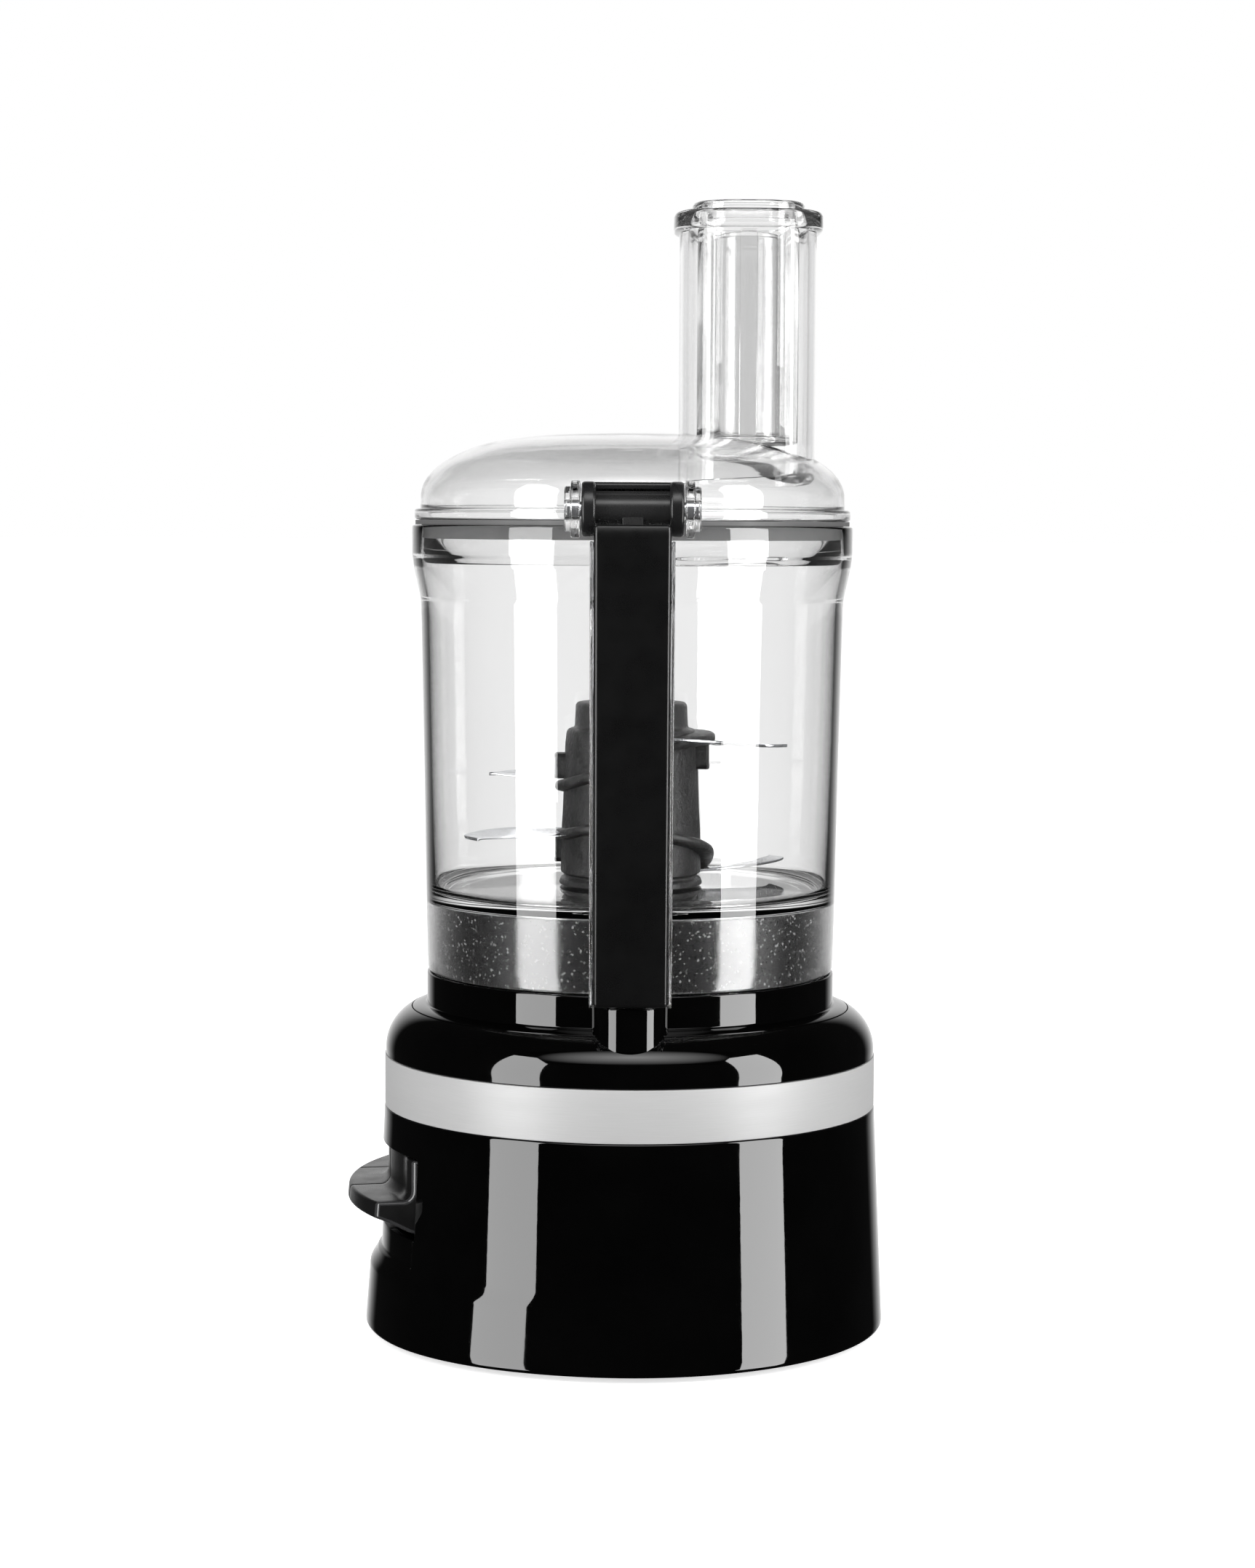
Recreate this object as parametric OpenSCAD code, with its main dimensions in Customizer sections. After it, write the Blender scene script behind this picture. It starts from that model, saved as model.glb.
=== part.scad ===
// Food processor: motor base, clear work bowl, latched lid with feed tube and pushers, chopping blades.
// Origin: drive axis at the table plane. +Z up, +X towards the bowl handle, -Y towards the control keys.

/* [Base] */
// Outer radius of the motor base at its foot
base_foot_r = 93.0; // [92:0.1:94]
// Outer radius of the motor base just under the trim band
base_top_r = 89.4; // [89:0.1:90]
// Height of the trim band
band_h = 18.7; // [16:0.1:19]
// Forward shift of the foot skirt, which makes the foot deeper at the front
skirt_shift = 1.9; // [1:0.1:2.2]

/* [Bowl] */
// Outer radius of the bowl where it meets the base
bowl_foot_r = 73.5; // [73:0.1:73.6]
// Outer radius of the bowl rim
bowl_rim_r = 79.6; // [79.3:0.1:80]
// Wall thickness of the bowl
bowl_wall = 2.6; // [2.2:0.1:2.8]
// Height of the bowl floor above the table
floor_z = 160; // [159:0.5:161]

/* [Handle] */
// Width of the handle
handle_w = 28; // [26:0.5:28]
// Distance from the drive axis to the handle's front face at the top
handle_top_x = 127; // [126:0.5:129]
// Distance from the drive axis to the handle's front face at the bottom
handle_foot_x = 90; // [89:0.5:91]

/* [Lid] */
// Half width of the feed tube from left to right
tube_half_w = 24.5; // [24:0.1:25]
// Half depth of the feed tube along the handle direction
tube_half_d = 30.5; // [30:0.1:31]
// Height of the top of the feed tube above the table
tube_top_z = 404; // [395:1:410]
// Outer radius of the latch cheeks
latch_r = 9.2; // [8.8:0.1:9.3]

/* [Controls] */
// Half width of the row of keys
keys_half_w = 49; // [46:0.5:49]
// Distance that the key shelf reaches out from the drive axis
shelf_reach = 103; // [99:0.5:104]

/* [Hidden] */

$fn = 64;
gap = 0.3;                 // clearance between neighbouring mouldings
fit = 0.05;                // radial running clearance of shafts and pins
cut = 1;                   // how far a cutting tool runs past the face it opens

// heights above the table
foot_h = 2;
band_z = 82.3;
band_top_z = band_z + band_h;
shoulder_z = 103;
dock_z = 131;
rim_z = 292.5;
flange_z = 294.4;
flange_top_z = 298.3;
dome_top_z = 325.8;

// shoulder of the base: one round stretch about this point
shoulder_cr = 72.5;
shoulder_r = 16.5;
shell_t = 3.4;
seam_r = 79.7;
ledge_z = 115.1;
collar_r = 74;

// drive train
shaft_r = 5;
bearing_r = 11;
belt_z = 28;
belt_h = 12;
motor_y = 45;
motor_r = 27;
motor_shaft_r = 3;
big_pulley_r = 30;
small_pulley_r = 10;
belt_t = 1.5;
chassis_z = 41;
chassis_t = 4;
post_ring_r = 70;
post_r = 5;
screw_r = 2;
head_r = 3.6;

// keys: one node each for the three of them
key_count = 3;
key_r = 88;
key_t = 2.4;
key_low_z = 42;
key_top_z = 68.5;
window_low_z = 40;
window_top_z = 69.2;
shelf_z = 47.2;
shelf_t = 6.6;
shelf_arc_r = 95;
key_axis_y = -66;
key_axis_z = 64;
key_rod_r = 1.5;

// interlock post of the base
post_x = 73;
post_cyl_r = 13.2;
post_top_z = 128.7;

// handle: front face leans along a line from foot to top
handle_foot_z = 129;
handle_top_z = 293;
lean = (handle_top_x - handle_foot_x) / (handle_top_z - handle_foot_z);
cover_t = 4;
frame_t = 13;
rail_t = 1.1;
arm_z = 270;
arm_top_z = 287.5;
rod_r = 2;
rod_back = 8.5;
rod_low_z = 127;
rod_top_z = 289.6;

// latch
pivot_x = 112;
pivot_z = 298;
pin_r = 2.5;
cheek_in = 12.2;
cheek_out = 16.9;
lug_in = 17.3;
lug_out = 20.4;

// feed tube and pushers
tube_y = 41;
oval_power = 0.62;         // 1 gives an ellipse, smaller values squarer corners
tube_wall = 2.5;
large_half_w = 19.2;
large_half_d = 25.2;
pusher_wall = 1.8;
pusher_floor_z = 322;
pusher_top_z = 407.5;
small_r = 13.4;
well_r = 14.2;
small_top_z = 399;

// bowl centre and blades
tube_in_r = 10.6;
tube_out_r = 13.2;
centre_tube_z = 205;
hub_r = 25.3;
hub_bore_r = 14.2;
head_square = 15;
socket_square = 15.6;
coupling_square = 11;
hub_top_z = 229;
blade_t = 1.2;
blade_r = 68.5;

function front_x(z) = handle_foot_x + lean * (z - handle_foot_z);
function arc_pts(cx, cz, r, a0, a1, n) =
    [for (i = [0 : n]) let (a = a0 + (a1 - a0) * i / n) [cx + r * cos(a), cz + r * sin(a)]];
function sgn_pow(v, p) = sign(v) * pow(abs(v), p);
// superellipse outline of the feed tube and its pusher, centred on the origin
function oval_pts(half_d, half_w, n = 48) =
    [for (i = [0 : n - 1]) let (a = 360 * i / n)
        [half_d * sgn_pow(cos(a), oval_power), half_w * sgn_pow(sin(a), oval_power)]];
function base_r_at(z) = base_foot_r + (base_top_r - base_foot_r) * (z - foot_h) / (band_z - foot_h);
function seam_angle(r) = acos((r - shoulder_cr) / shoulder_r);

module ring(r_out, r_in, h) {
    difference() {
        cylinder(r = r_out, h = h);
        translate([0, 0, -cut]) cylinder(r = r_in, h = h + 2 * cut);
    }
}

// extrude an x-z outline along y, centred on y = 0
module side_profile(pts, width) {
    rotate([90, 0, 0]) linear_extrude(width, center = true) polygon(pts);
}

module y_cylinder(x, z, r, y0, y1) {
    translate([x, y1, z]) rotate([90, 0, 0]) cylinder(r = r, h = y1 - y0);
}

module at_posts(radius = post_ring_r) {
    for (a = [45 : 90 : 315]) rotate([0, 0, a]) translate([radius, 0, 0]) children();
}

// ---------- base ----------
module base_outer() {
    rotate_extrude() polygon(concat(
        [[0, foot_h], [base_foot_r - 1.2, foot_h], [base_foot_r, foot_h + 1.4],
         [base_top_r, band_z], [base_top_r - 1.5, band_z], [base_top_r - 1.5, band_top_z],
         [shoulder_cr + shoulder_r, band_top_z]],
        arc_pts(shoulder_cr, shoulder_z, shoulder_r, 0, seam_angle(seam_r), 10),
        [[0, shoulder_z + shoulder_r * sin(seam_angle(seam_r))]]));
}

module base_inner() {
    inner_r = shoulder_r - shell_t;
    rotate_extrude() polygon(concat(
        [[0, foot_h - cut], [base_foot_r - shell_t, foot_h - cut],
         [base_top_r - shell_t - 1.5, band_z - 4]],
        arc_pts(shoulder_cr, shoulder_z, inner_r, 0, 70, 7),
        [[76.2, shoulder_z + shoulder_r + cut], [0, shoulder_z + shoulder_r + cut]]));
}

module foot_skirt() {
    skirt_r = base_foot_r + 0.2;
    translate([0, -skirt_shift, 0]) rotate_extrude() polygon([
        [0, foot_h], [skirt_r - 1.2, foot_h], [skirt_r, foot_h + 1.4], [skirt_r, 23],
        [skirt_r - 3.4, 30], [0, 30]]);
}

module base_housing() {
    relief = 1.2;
    color([0.02, 0.02, 0.02]) difference() {
        union() {
            difference() {
                base_outer();
                // shallow relief behind the keys
                difference() {
                    translate([-keys_half_w - 0.6, -120, 30.5])
                        cube([2 * keys_half_w + 1.2, 80, window_top_z - 30.5]);
                    translate([0, relief, 0]) rotate_extrude() polygon([
                        [0, 20], [base_r_at(20), 20], [base_r_at(75), 75], [0, 75]]);
                }
            }
            foot_skirt();
        }
        base_inner();
        // ledge that carries the edge of the dock
        translate([0, 0, ledge_z]) cylinder(r = seam_r - 0.1, h = 10);
        // window for the keys
        translate([-keys_half_w - 0.6, -120, window_low_z])
            cube([2 * keys_half_w + 1.2, 60, window_top_z - window_low_z]);
        // hole for the cord gland
        translate([0, 70, 20]) rotate([-90, 0, 0]) cylinder(r = 7.1, h = 40);
    }
}

module bowl_dock() {
    edge_r = seam_r - 0.4;
    hub_out = 14.5;
    color([0.02, 0.02, 0.02]) difference() {
        union() {
            rotate_extrude() polygon(concat(
                [[edge_r, ledge_z + 0.1]],
                arc_pts(shoulder_cr, shoulder_z, shoulder_r, seam_angle(edge_r), 83, 3),
                [[collar_r, 120.4], [collar_r, dock_z - 0.6], [collar_r - 0.6, dock_z],
                 [9, dock_z], [9, 126.5], [bearing_r, 126.5], [bearing_r, 115.2],
                 [hub_out, 115.2], [hub_out, 128], [collar_r - 3, 128], [collar_r - 3, 119],
                 [64, 119], [64, 115.2]]));
            // interlock post standing on the shoulder under the handle
            difference() {
                translate([post_x, 0, 110]) cylinder(r = post_cyl_r, h = post_top_z - 110);
                rotate_extrude() translate([shoulder_cr, shoulder_z]) circle(r = shoulder_r + gap);
                translate([0, 0, 105]) cylinder(r = collar_r - 2, h = 40);
                translate([0, 0, dock_z]) cylinder(r = collar_r + 0.6, h = 10);
            }
        }
        // switch pocket and rod hole in the post
        translate([post_x + 3.2, -4, 121]) cube([7.6, 8, 5]);
        translate([post_x + 4.4, -3.2, 124]) cube([6.6, 6.4, 20]);
    }
}

module trim_band() {
    color([0.78, 0.78, 0.78]) translate([0, 0, band_z + 0.1])
        ring(base_top_r - 0.1, base_top_r - 1.4, band_h - 0.2);
}

module base_plate() {
    slots = 9;
    color([0.08, 0.08, 0.08]) difference() {
        translate([0, 0, foot_h]) cylinder(r = base_foot_r - shell_t - gap, h = 3);
        at_posts() translate([0, 0, 1]) cylinder(r = screw_r + 0.2, h = 6);
        at_posts() translate([0, 0, 1]) cylinder(r = head_r + 0.2, h = 2.2);
        for (a = [0 : 90 : 270]) rotate([0, 0, a]) translate([72, 0, 1])
            cylinder(r = 7.1, h = 2.2);
        // cooling slots under the motor
        for (i = [0 : slots - 1]) translate([-22 + 5.5 * i - 1.25, 18, 1]) cube([2.5, 32, 6]);
    }
}

module rubber_feet() {
    color([0.1, 0.1, 0.1]) for (a = [0 : 90 : 270]) rotate([0, 0, a])
        translate([72, 0, 0]) cylinder(r = 7, h = 3.1);
}

module base_screws() {
    color([0.7, 0.7, 0.7]) at_posts() {
        translate([0, 0, foot_h + 0.3]) cylinder(r = head_r, h = 0.8);
        translate([0, 0, foot_h + 1.1]) cylinder(r = screw_r, h = 17);
    }
}

// ---------- inside the base ----------
module chassis() {
    color([0.3, 0.32, 0.34]) difference() {
        union() {
            translate([0, 0, chassis_z]) cylinder(r = 76, h = chassis_t);
            at_posts() translate([0, 0, 5.1]) cylinder(r = post_r, h = 110);
        }
        translate([0, 0, chassis_z - cut]) cylinder(r = bearing_r, h = chassis_t + 2 * cut);
        translate([0, motor_y, chassis_z - cut]) cylinder(r = 9, h = chassis_t + 2 * cut);
        at_posts() translate([0, 0, 5]) cylinder(r = screw_r + 0.02, h = 17);
        // cut back at the front for the control board
        translate([-60, -120, chassis_z - cut]) cube([120, 63, chassis_t + 2 * cut]);
    }
}

module motor_can() {
    color([0.55, 0.56, 0.58]) translate([0, motor_y, chassis_z + chassis_t + 0.1]) difference() {
        cylinder(r = motor_r, h = 50);
        translate([0, 0, 2]) cylinder(r = motor_r - 2, h = 50);
        translate([0, 0, -cut]) cylinder(r = motor_shaft_r + 1.5, h = 5);
    }
}

module motor_end_cap() {
    cap_z = chassis_z + chassis_t + 50.2;
    color([0.35, 0.35, 0.37]) translate([0, motor_y, cap_z]) difference() {
        cylinder(r = motor_r, h = 3);
        translate([0, 0, -cut]) cylinder(r = motor_shaft_r + fit, h = 5);
        for (a = [30 : 60 : 330]) rotate([0, 0, a]) translate([17, 0, -cut]) cylinder(r = 4, h = 5);
    }
}

module brush_holders() {
    color([0.75, 0.6, 0.25]) for (s = [-1, 1])
        translate([s * 13.5 - 4.5, motor_y - 4, chassis_z + chassis_t + 40]) cube([9, 8, 7]);
}

module shaft_bearings() {
    color([0.72, 0.6, 0.35]) {
        translate([0, 0, chassis_z]) ring(bearing_r - fit, shaft_r + fit, chassis_t);
        translate([0, 0, 117]) ring(bearing_r - fit, shaft_r + fit, 9);
    }
}

module shaft_seal() {
    color([0.12, 0.12, 0.12]) translate([0, 0, 126.8]) ring(8.9, shaft_r + fit, 3.8);
}

// flat belt: outer outline less the same outline drawn in by the belt's thickness
module belt_outline(grow) {
    lean_a = asin((big_pulley_r - small_pulley_r) / motor_y);
    rb = big_pulley_r + grow;
    rs = small_pulley_r + grow;
    circle(r = rb);
    translate([0, motor_y]) circle(r = rs);
    polygon([[rb * cos(lean_a), rb * sin(lean_a)],
             [rs * cos(lean_a), motor_y + rs * sin(lean_a)],
             [-rs * cos(lean_a), motor_y + rs * sin(lean_a)],
             [-rb * cos(lean_a), rb * sin(lean_a)]]);
}

module drive_belt() {
    color([0.1, 0.1, 0.1]) translate([0, 0, belt_z + 2]) linear_extrude(belt_h - 4)
        difference() {
            belt_outline(gap + belt_t);
            belt_outline(gap);
        }
}

module control_bezel() {
    half = keys_half_w - 1;
    color([0.15, 0.15, 0.16]) difference() {
        union() {
            // back panel, with an ear at each end that holds the pivot rod
            translate([-half, -61.4, 41]) cube([2 * half, 2, 28]);
            for (s = [-1, 1]) translate([s * (half - 1) - 1, -69, 60]) cube([2, 8.6, 8]);
        }
        at_keys() translate([-5, -70, 45]) cube([10, 20, 10]);
        translate([-60, key_axis_y, key_axis_z]) rotate([0, 90, 0])
            cylinder(r = key_rod_r, h = 120);
    }
}

module key_pivot_rod() {
    half = keys_half_w - 0.5;
    color([0.75, 0.75, 0.76]) translate([-half, key_axis_y, key_axis_z]) rotate([0, 90, 0])
        cylinder(r = key_rod_r, h = 2 * half);
}

module control_board() {
    color([0.08, 0.3, 0.16]) translate([-42, -59, 43]) cube([84, 1.6, 36]);
}

module at_keys() {
    pitch = 2 * keys_half_w / key_count;
    for (i = [0 : key_count - 1]) translate([(i - (key_count - 1) / 2) * pitch, 0, 0]) children();
}

module key_switches() {
    color([0.2, 0.2, 0.2]) at_keys() translate([-4, -64, 46]) cube([8, 4.9, 8]);
}

module interlock_switch() {
    color([0.16, 0.16, 0.18]) translate([post_x + 3.5, -3.7, 121.3]) cube([7, 7.4, 4.2]);
}

module cord_gland() {
    color([0.06, 0.06, 0.06]) translate([0, 79.2, 20]) rotate([-90, 0, 0]) difference() {
        union() {
            cylinder(r = 6.9, h = 12.6);
            translate([0, 0, 1.4]) cylinder(r = 9, h = 2);
        }
        translate([0, 0, -cut]) cylinder(r = 3.6, h = 20);
    }
}

// ---------- drive train ----------
module drive_shaft() {
    color([0.75, 0.76, 0.78]) translate([0, 0, 24]) cylinder(r = shaft_r, h = 121);
}

module drive_pulley() {
    color([0.85, 0.83, 0.78]) translate([0, 0, belt_z]) difference() {
        cylinder(r = big_pulley_r, h = belt_h);
        translate([0, 0, -cut]) cylinder(r = shaft_r, h = belt_h + 2 * cut);
        for (a = [0 : 60 : 300]) rotate([0, 0, a]) translate([18, 0, -cut])
            cylinder(r = 5, h = belt_h + 2 * cut);
    }
}

module drive_coupling() {
    half = coupling_square / 2;
    color([0.7, 0.71, 0.73]) difference() {
        translate([-half, -half, 133]) cube([coupling_square, coupling_square, 13]);
        translate([0, 0, 132]) cylinder(r = shaft_r, h = 13);
    }
}

module motor_armature() {
    color([0.7, 0.42, 0.22]) translate([0, motor_y, chassis_z + chassis_t + 5])
        ring(20, motor_shaft_r, 32);
}

module motor_shaft() {
    color([0.75, 0.76, 0.78]) translate([0, motor_y, 26]) cylinder(r = motor_shaft_r, h = 86);
}

module motor_pulley() {
    color([0.85, 0.83, 0.78]) translate([0, motor_y, belt_z])
        ring(small_pulley_r, motor_shaft_r, belt_h);
}

module cooling_fan() {
    blades = 8;
    color([0.9, 0.9, 0.88]) translate([0, motor_y, 100.5]) difference() {
        union() {
            cylinder(r = 6, h = 9);
            cylinder(r = 22, h = 1.4);
            for (i = [0 : blades - 1]) rotate([0, 0, 360 * i / blades])
                translate([5, -0.7, 1]) cube([16, 1.4, 7]);
        }
        translate([0, 0, -cut]) cylinder(r = motor_shaft_r, h = 12);
    }
}

// ---------- keys ----------
module shelf_outline(shrink) {
    half = keys_half_w - 1;
    centre_y = -(shelf_reach - shelf_arc_r);
    difference() {
        intersection() {
            translate([0, centre_y]) circle(r = shelf_arc_r - shrink, $fn = 96);
            translate([-half, -120]) square([2 * half, 60]);
        }
        circle(r = key_r - key_t, $fn = 96);
    }
}

module control_key(i) {
    pitch = 2 * keys_half_w / key_count;
    x0 = -keys_half_w + pitch * i + (i > 0 ? gap : 0);
    x1 = -keys_half_w + pitch * (i + 1) - (i < key_count - 1 ? gap : 0);
    ear = 3;
    color([0.16, 0.16, 0.17]) difference() {
        union() {
            intersection() {
                translate([x0, -120, 0]) cube([x1 - x0, 60, 100]);
                union() {
                    translate([0, 0, key_low_z])
                        ring(key_r, key_r - key_t, key_top_z - key_low_z);
                    translate([0, 0, shelf_z]) linear_extrude(shelf_t) shelf_outline(0);
                    translate([0, 0, shelf_z + shelf_t - 0.1]) ring(key_r + 1, key_r - key_t, 1);
                    translate([0, 0, shelf_z - 2.5]) ring(key_r + 2, key_r - key_t, 3);
                }
            }
            // ears that hang on the pivot rod
            for (x = [x0 + 4, x1 - 4 - ear]) intersection() {
                translate([x, -100, key_axis_z - 3]) cube([ear, 36.5, 6]);
                cylinder(r = key_r - 1, h = 100);
            }
        }
        translate([-60, key_axis_y, key_axis_z]) rotate([0, 90, 0])
            cylinder(r = key_rod_r + fit, h = 120);
    }
}

module pulse_key() { control_key(key_count - 1); }
module low_key() { control_key(1); }
module high_key() { control_key(0); }

// ---------- bowl ----------
module bowl() {
    w = bowl_wall;
    color([0.85, 0.9, 0.92, 0.4]) rotate_extrude() polygon([
        [bowl_foot_r, dock_z + gap], [73.8, 136], [74.2, 152], [75.1, 205], [76.2, 258],
        [76.5, 266], [79.0, 278], [bowl_rim_r, 282], [bowl_rim_r, rim_z - 0.8],
        [bowl_rim_r - 0.8, rim_z], [76.6, rim_z], [76.4, 281], [76.5 - w, 267],
        [76.2 - w, 258], [75.1 - w, 205], [74.3 - w, floor_z + 3], [74.3 - w - 3, floor_z],
        [tube_out_r, floor_z], [tube_out_r, centre_tube_z], [tube_in_r, centre_tube_z],
        [tube_in_r, floor_z - 2.6], [74.2 - w, floor_z - 2.6], [bowl_foot_r - w, dock_z + gap]]);
}

module bowl_skirt() {
    r = bowl_foot_r - bowl_wall - gap;
    color([0.25, 0.25, 0.26]) translate([0, 0, dock_z + gap]) difference() {
        cylinder(r = r, h = floor_z - 2.9 - dock_z - gap);
        translate([0, 0, -cut]) cylinder(r = r - 2, h = floor_z - 5 - dock_z - gap + cut);
        translate([0, 0, -cut]) cylinder(r = tube_in_r, h = 40);
    }
}

module handle_body(y_width, back, front) {
    side_profile([
        [front_x(handle_foot_z) - back, handle_foot_z],
        [front_x(handle_foot_z) - front, handle_foot_z],
        [front_x(arm_top_z) - front, arm_top_z],
        [front_x(arm_top_z) - back, arm_top_z]], y_width);
}

module handle_frame() {
    color([0.3, 0.3, 0.32]) difference() {
        union() {
            handle_body(handle_w, frame_t, cover_t);
            // side rails beside the cover
            for (s = [-1, 1]) translate([0, s * (handle_w - rail_t) / 2, 0])
                handle_body(rail_t, frame_t, 0.6);
            // arm from the rim to the grip
            side_profile([[76, arm_z + 2], [front_x(arm_z) - frame_t - 4, arm_z],
                [front_x(arm_z - 7) - frame_t + 1, arm_z - 7], [front_x(arm_z) - 6, arm_z],
                [front_x(arm_top_z) - 6, arm_top_z], [76, arm_top_z]], handle_w);
            // foot from the bowl wall to the grip
            side_profile([[72, handle_foot_z], [front_x(handle_foot_z) - 6, handle_foot_z],
                [front_x(154) - 6, 154], [front_x(154) - frame_t, 154], [72, 146]], handle_w - 4);
        }
        translate([0, 0, 262]) cylinder(r = bowl_rim_r + 0.25, h = 40);
        translate([0, 0, 125]) cylinder(r = collar_r + 0.6, h = 35);
        handle_screw_bars(1.62);
        // channel of the interlock rod
        rod_line(rod_r + 0.25, 120, 300);
        rod_line(4.6, 150, 172);
    }
}

// a round bar along the handle's slanted centre line between two heights
module rod_line(r, z0, z1) {
    tilt = atan(lean);
    translate([front_x(z0) - rod_back, 0, z0]) rotate([0, tilt, 0])
        cylinder(r = r, h = (z1 - z0) / cos(tilt));
}

module handle_cover() {
    w = handle_w - 2 * rail_t - 0.4;
    top_back = pivot_x + latch_r + 0.8;
    color([0.05, 0.05, 0.05]) side_profile([
        [front_x(handle_foot_z) - cover_t + 0.2, handle_foot_z],
        [front_x(handle_foot_z), handle_foot_z],
        [front_x(270), 270], [front_x(283) - 0.3, 283], [front_x(290) - 1.1, 290],
        [front_x(handle_top_z) - 2.6, handle_top_z], [top_back, handle_top_z],
        [top_back, arm_top_z + 0.2], [front_x(arm_top_z) - cover_t + 0.2, arm_top_z + 0.2]], w);
}

module handle_screw_bars(r) {
    for (z = [138, 278], y = [-8, 8]) translate([81, y, z]) rotate([0, 90, 0])
        cylinder(r = r, h = 5);
}

module handle_screws() {
    color([0.7, 0.7, 0.7]) handle_screw_bars(1.6);
}

module bowl_bush() {
    color([0.85, 0.83, 0.78]) translate([0, 0, 190])
        ring(tube_in_r - fit, 6 + fit, 14);
}

module rod_spring() {
    tilt = atan(lean);
    turns = 5;
    color([0.75, 0.76, 0.78]) for (i = [0 : turns - 1])
        translate([front_x(152 + 4 * i) - rod_back, 0, 152 + 4 * i]) rotate([0, tilt, 0])
            ring(4.2, 3, 1.2);
}

module interlock_rod() {
    color([0.8, 0.8, 0.78]) {
        intersection() {
            rod_line(rod_r, 120, 300);
            translate([70, -5, rod_low_z]) cube([60, 10, rod_top_z - rod_low_z]);
        }
    }
}

// ---------- lid ----------
module dome_profile(inset) {
    polygon([[0, dome_top_z - inset], [21, 325.4 - inset], [39.1, 324.1 - inset],
        [54.7 - 0.2 * inset, 321.4 - inset], [66.6 - 0.5 * inset, 316.2 - 0.9 * inset],
        [73.2 - 0.8 * inset, 310.9 - 0.6 * inset], [76.1 - inset, 305.7 - 0.3 * inset],
        [76.6 - inset, 300.4], [76.6 - inset, 280], [0, 280]]);
}

module feed_tube_outline(inset) {
    translate([-1, tube_y]) polygon(oval_pts(tube_half_d - inset, tube_half_w - inset));
}

module lid() {
    wall = 2.6;
    color([0.88, 0.92, 0.94, 0.4]) difference() {
        union() {
            difference() {
                union() {
                    rotate_extrude() intersection() {
                        dome_profile(0);
                        translate([0, flange_z]) square([90, 40]);
                    }
                    translate([0, 0, flange_z]) cylinder(r = 78.8, h = flange_top_z - flange_z);
                    translate([0, 0, 279]) cylinder(r = 75.6, h = 18);
                    translate([0, 0, 305]) linear_extrude(tube_top_z - 305) feed_tube_outline(0);
                    translate([0, 0, tube_top_z - 6.5]) linear_extrude(6.5) feed_tube_outline(-2.2);
                }
                rotate_extrude() dome_profile(wall);
                translate([0, 0, 270]) cylinder(r = 76.6 - wall, h = 20);
            }
            // walls of the feed tube below the dome
            translate([0, 0, 312]) linear_extrude(8) feed_tube_outline(0.2);
            for (s = [-1, 1]) {
                latch_lug(s);
            }
        }
        translate([0, 0, 290]) linear_extrude(200) feed_tube_outline(tube_wall);
        y_cylinder(pivot_x, pivot_z, pin_r + 0.02, -30, 30);
    }
}

module latch_lug(s) {
    boss_t = 2.2;
    y0 = s > 0 ? lug_in : -lug_out;
    difference() {
        union() {
            translate([0, s * (lug_in + lug_out) / 2, 0]) side_profile([
                [72, 295.8], [pivot_x - 6, 289.8], [pivot_x + 2, 289], [pivot_x + 2, 307],
                [pivot_x - 6, 307], [72, 305.5]], lug_out - lug_in);
            y_cylinder(pivot_x, pivot_z, 9.6, y0, y0 + lug_out - lug_in);
            y_cylinder(pivot_x, pivot_z, 7.6, s > 0 ? lug_out - 0.1 : -lug_out - boss_t,
                s > 0 ? lug_out + boss_t : -lug_out + 0.1);
        }
        translate([0, 0, 280]) cylinder(r = 76.4, h = 40);
    }
}

module lid_seal() {
    lip_h = 5;
    color([0.1, 0.1, 0.1]) {
        translate([0, 0, rim_z + 0.15]) ring(78.4, 75.7, 1.6);
        // lip that reaches down between the lid's skirt and the bowl
        translate([0, 0, rim_z - lip_h]) ring(76.2, 75.7, lip_h + 1);
    }
}

module latch_pin() {
    color([0.78, 0.78, 0.8]) y_cylinder(pivot_x, pivot_z, pin_r, -21.5, 21.5);
}

module latch_lever() {
    barrel_r = 5.2;
    cam_r = 8.4;
    color([0.06, 0.06, 0.06]) difference() {
        union() {
            for (s = [-1, 1]) y_cylinder(pivot_x, pivot_z, latch_r,
                s > 0 ? cheek_in : -cheek_out, s > 0 ? cheek_out : -cheek_in);
            y_cylinder(pivot_x, pivot_z, barrel_r, -cheek_in - 0.1, cheek_in + 0.1);
            // thumb bar across the top, behind the barrel
            translate([pivot_x - 12, -cheek_out, 303.4]) cube([12, 2 * cheek_out, 3.6]);
            translate([pivot_x - 4, -cheek_in, 300]) cube([4, 2 * cheek_in, 6]);
            // cam that holds the interlock rod down
            side_profile([[pivot_x, pivot_z - 2], [pivot_x + cam_r * cos(75), pivot_z - cam_r * sin(75)],
                [pivot_x + cam_r * cos(52), pivot_z - cam_r * sin(52)], [pivot_x + 4, pivot_z]], 7);
        }
        y_cylinder(pivot_x, pivot_z, pin_r + fit, -30, 30);
    }
}

module large_pusher() {
    well_wall = 1.6;
    color([0.88, 0.92, 0.94, 0.4]) translate([-1, tube_y, 0]) {
        difference() {
            union() {
                translate([0, 0, pusher_floor_z]) linear_extrude(pusher_top_z - pusher_floor_z)
                    polygon(oval_pts(large_half_d, large_half_w));
                translate([0, 0, pusher_top_z - 3]) linear_extrude(3)
                    polygon(oval_pts(large_half_d + 0.9, large_half_w + 0.9));
            }
            translate([0, 0, pusher_floor_z + 2]) linear_extrude(200)
                polygon(oval_pts(large_half_d - pusher_wall, large_half_w - pusher_wall));
            translate([0, 0, pusher_floor_z - cut]) cylinder(r = well_r, h = 10);
        }
        translate([0, 0, pusher_floor_z]) ring(well_r + well_wall, well_r, 75);
    }
}

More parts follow.
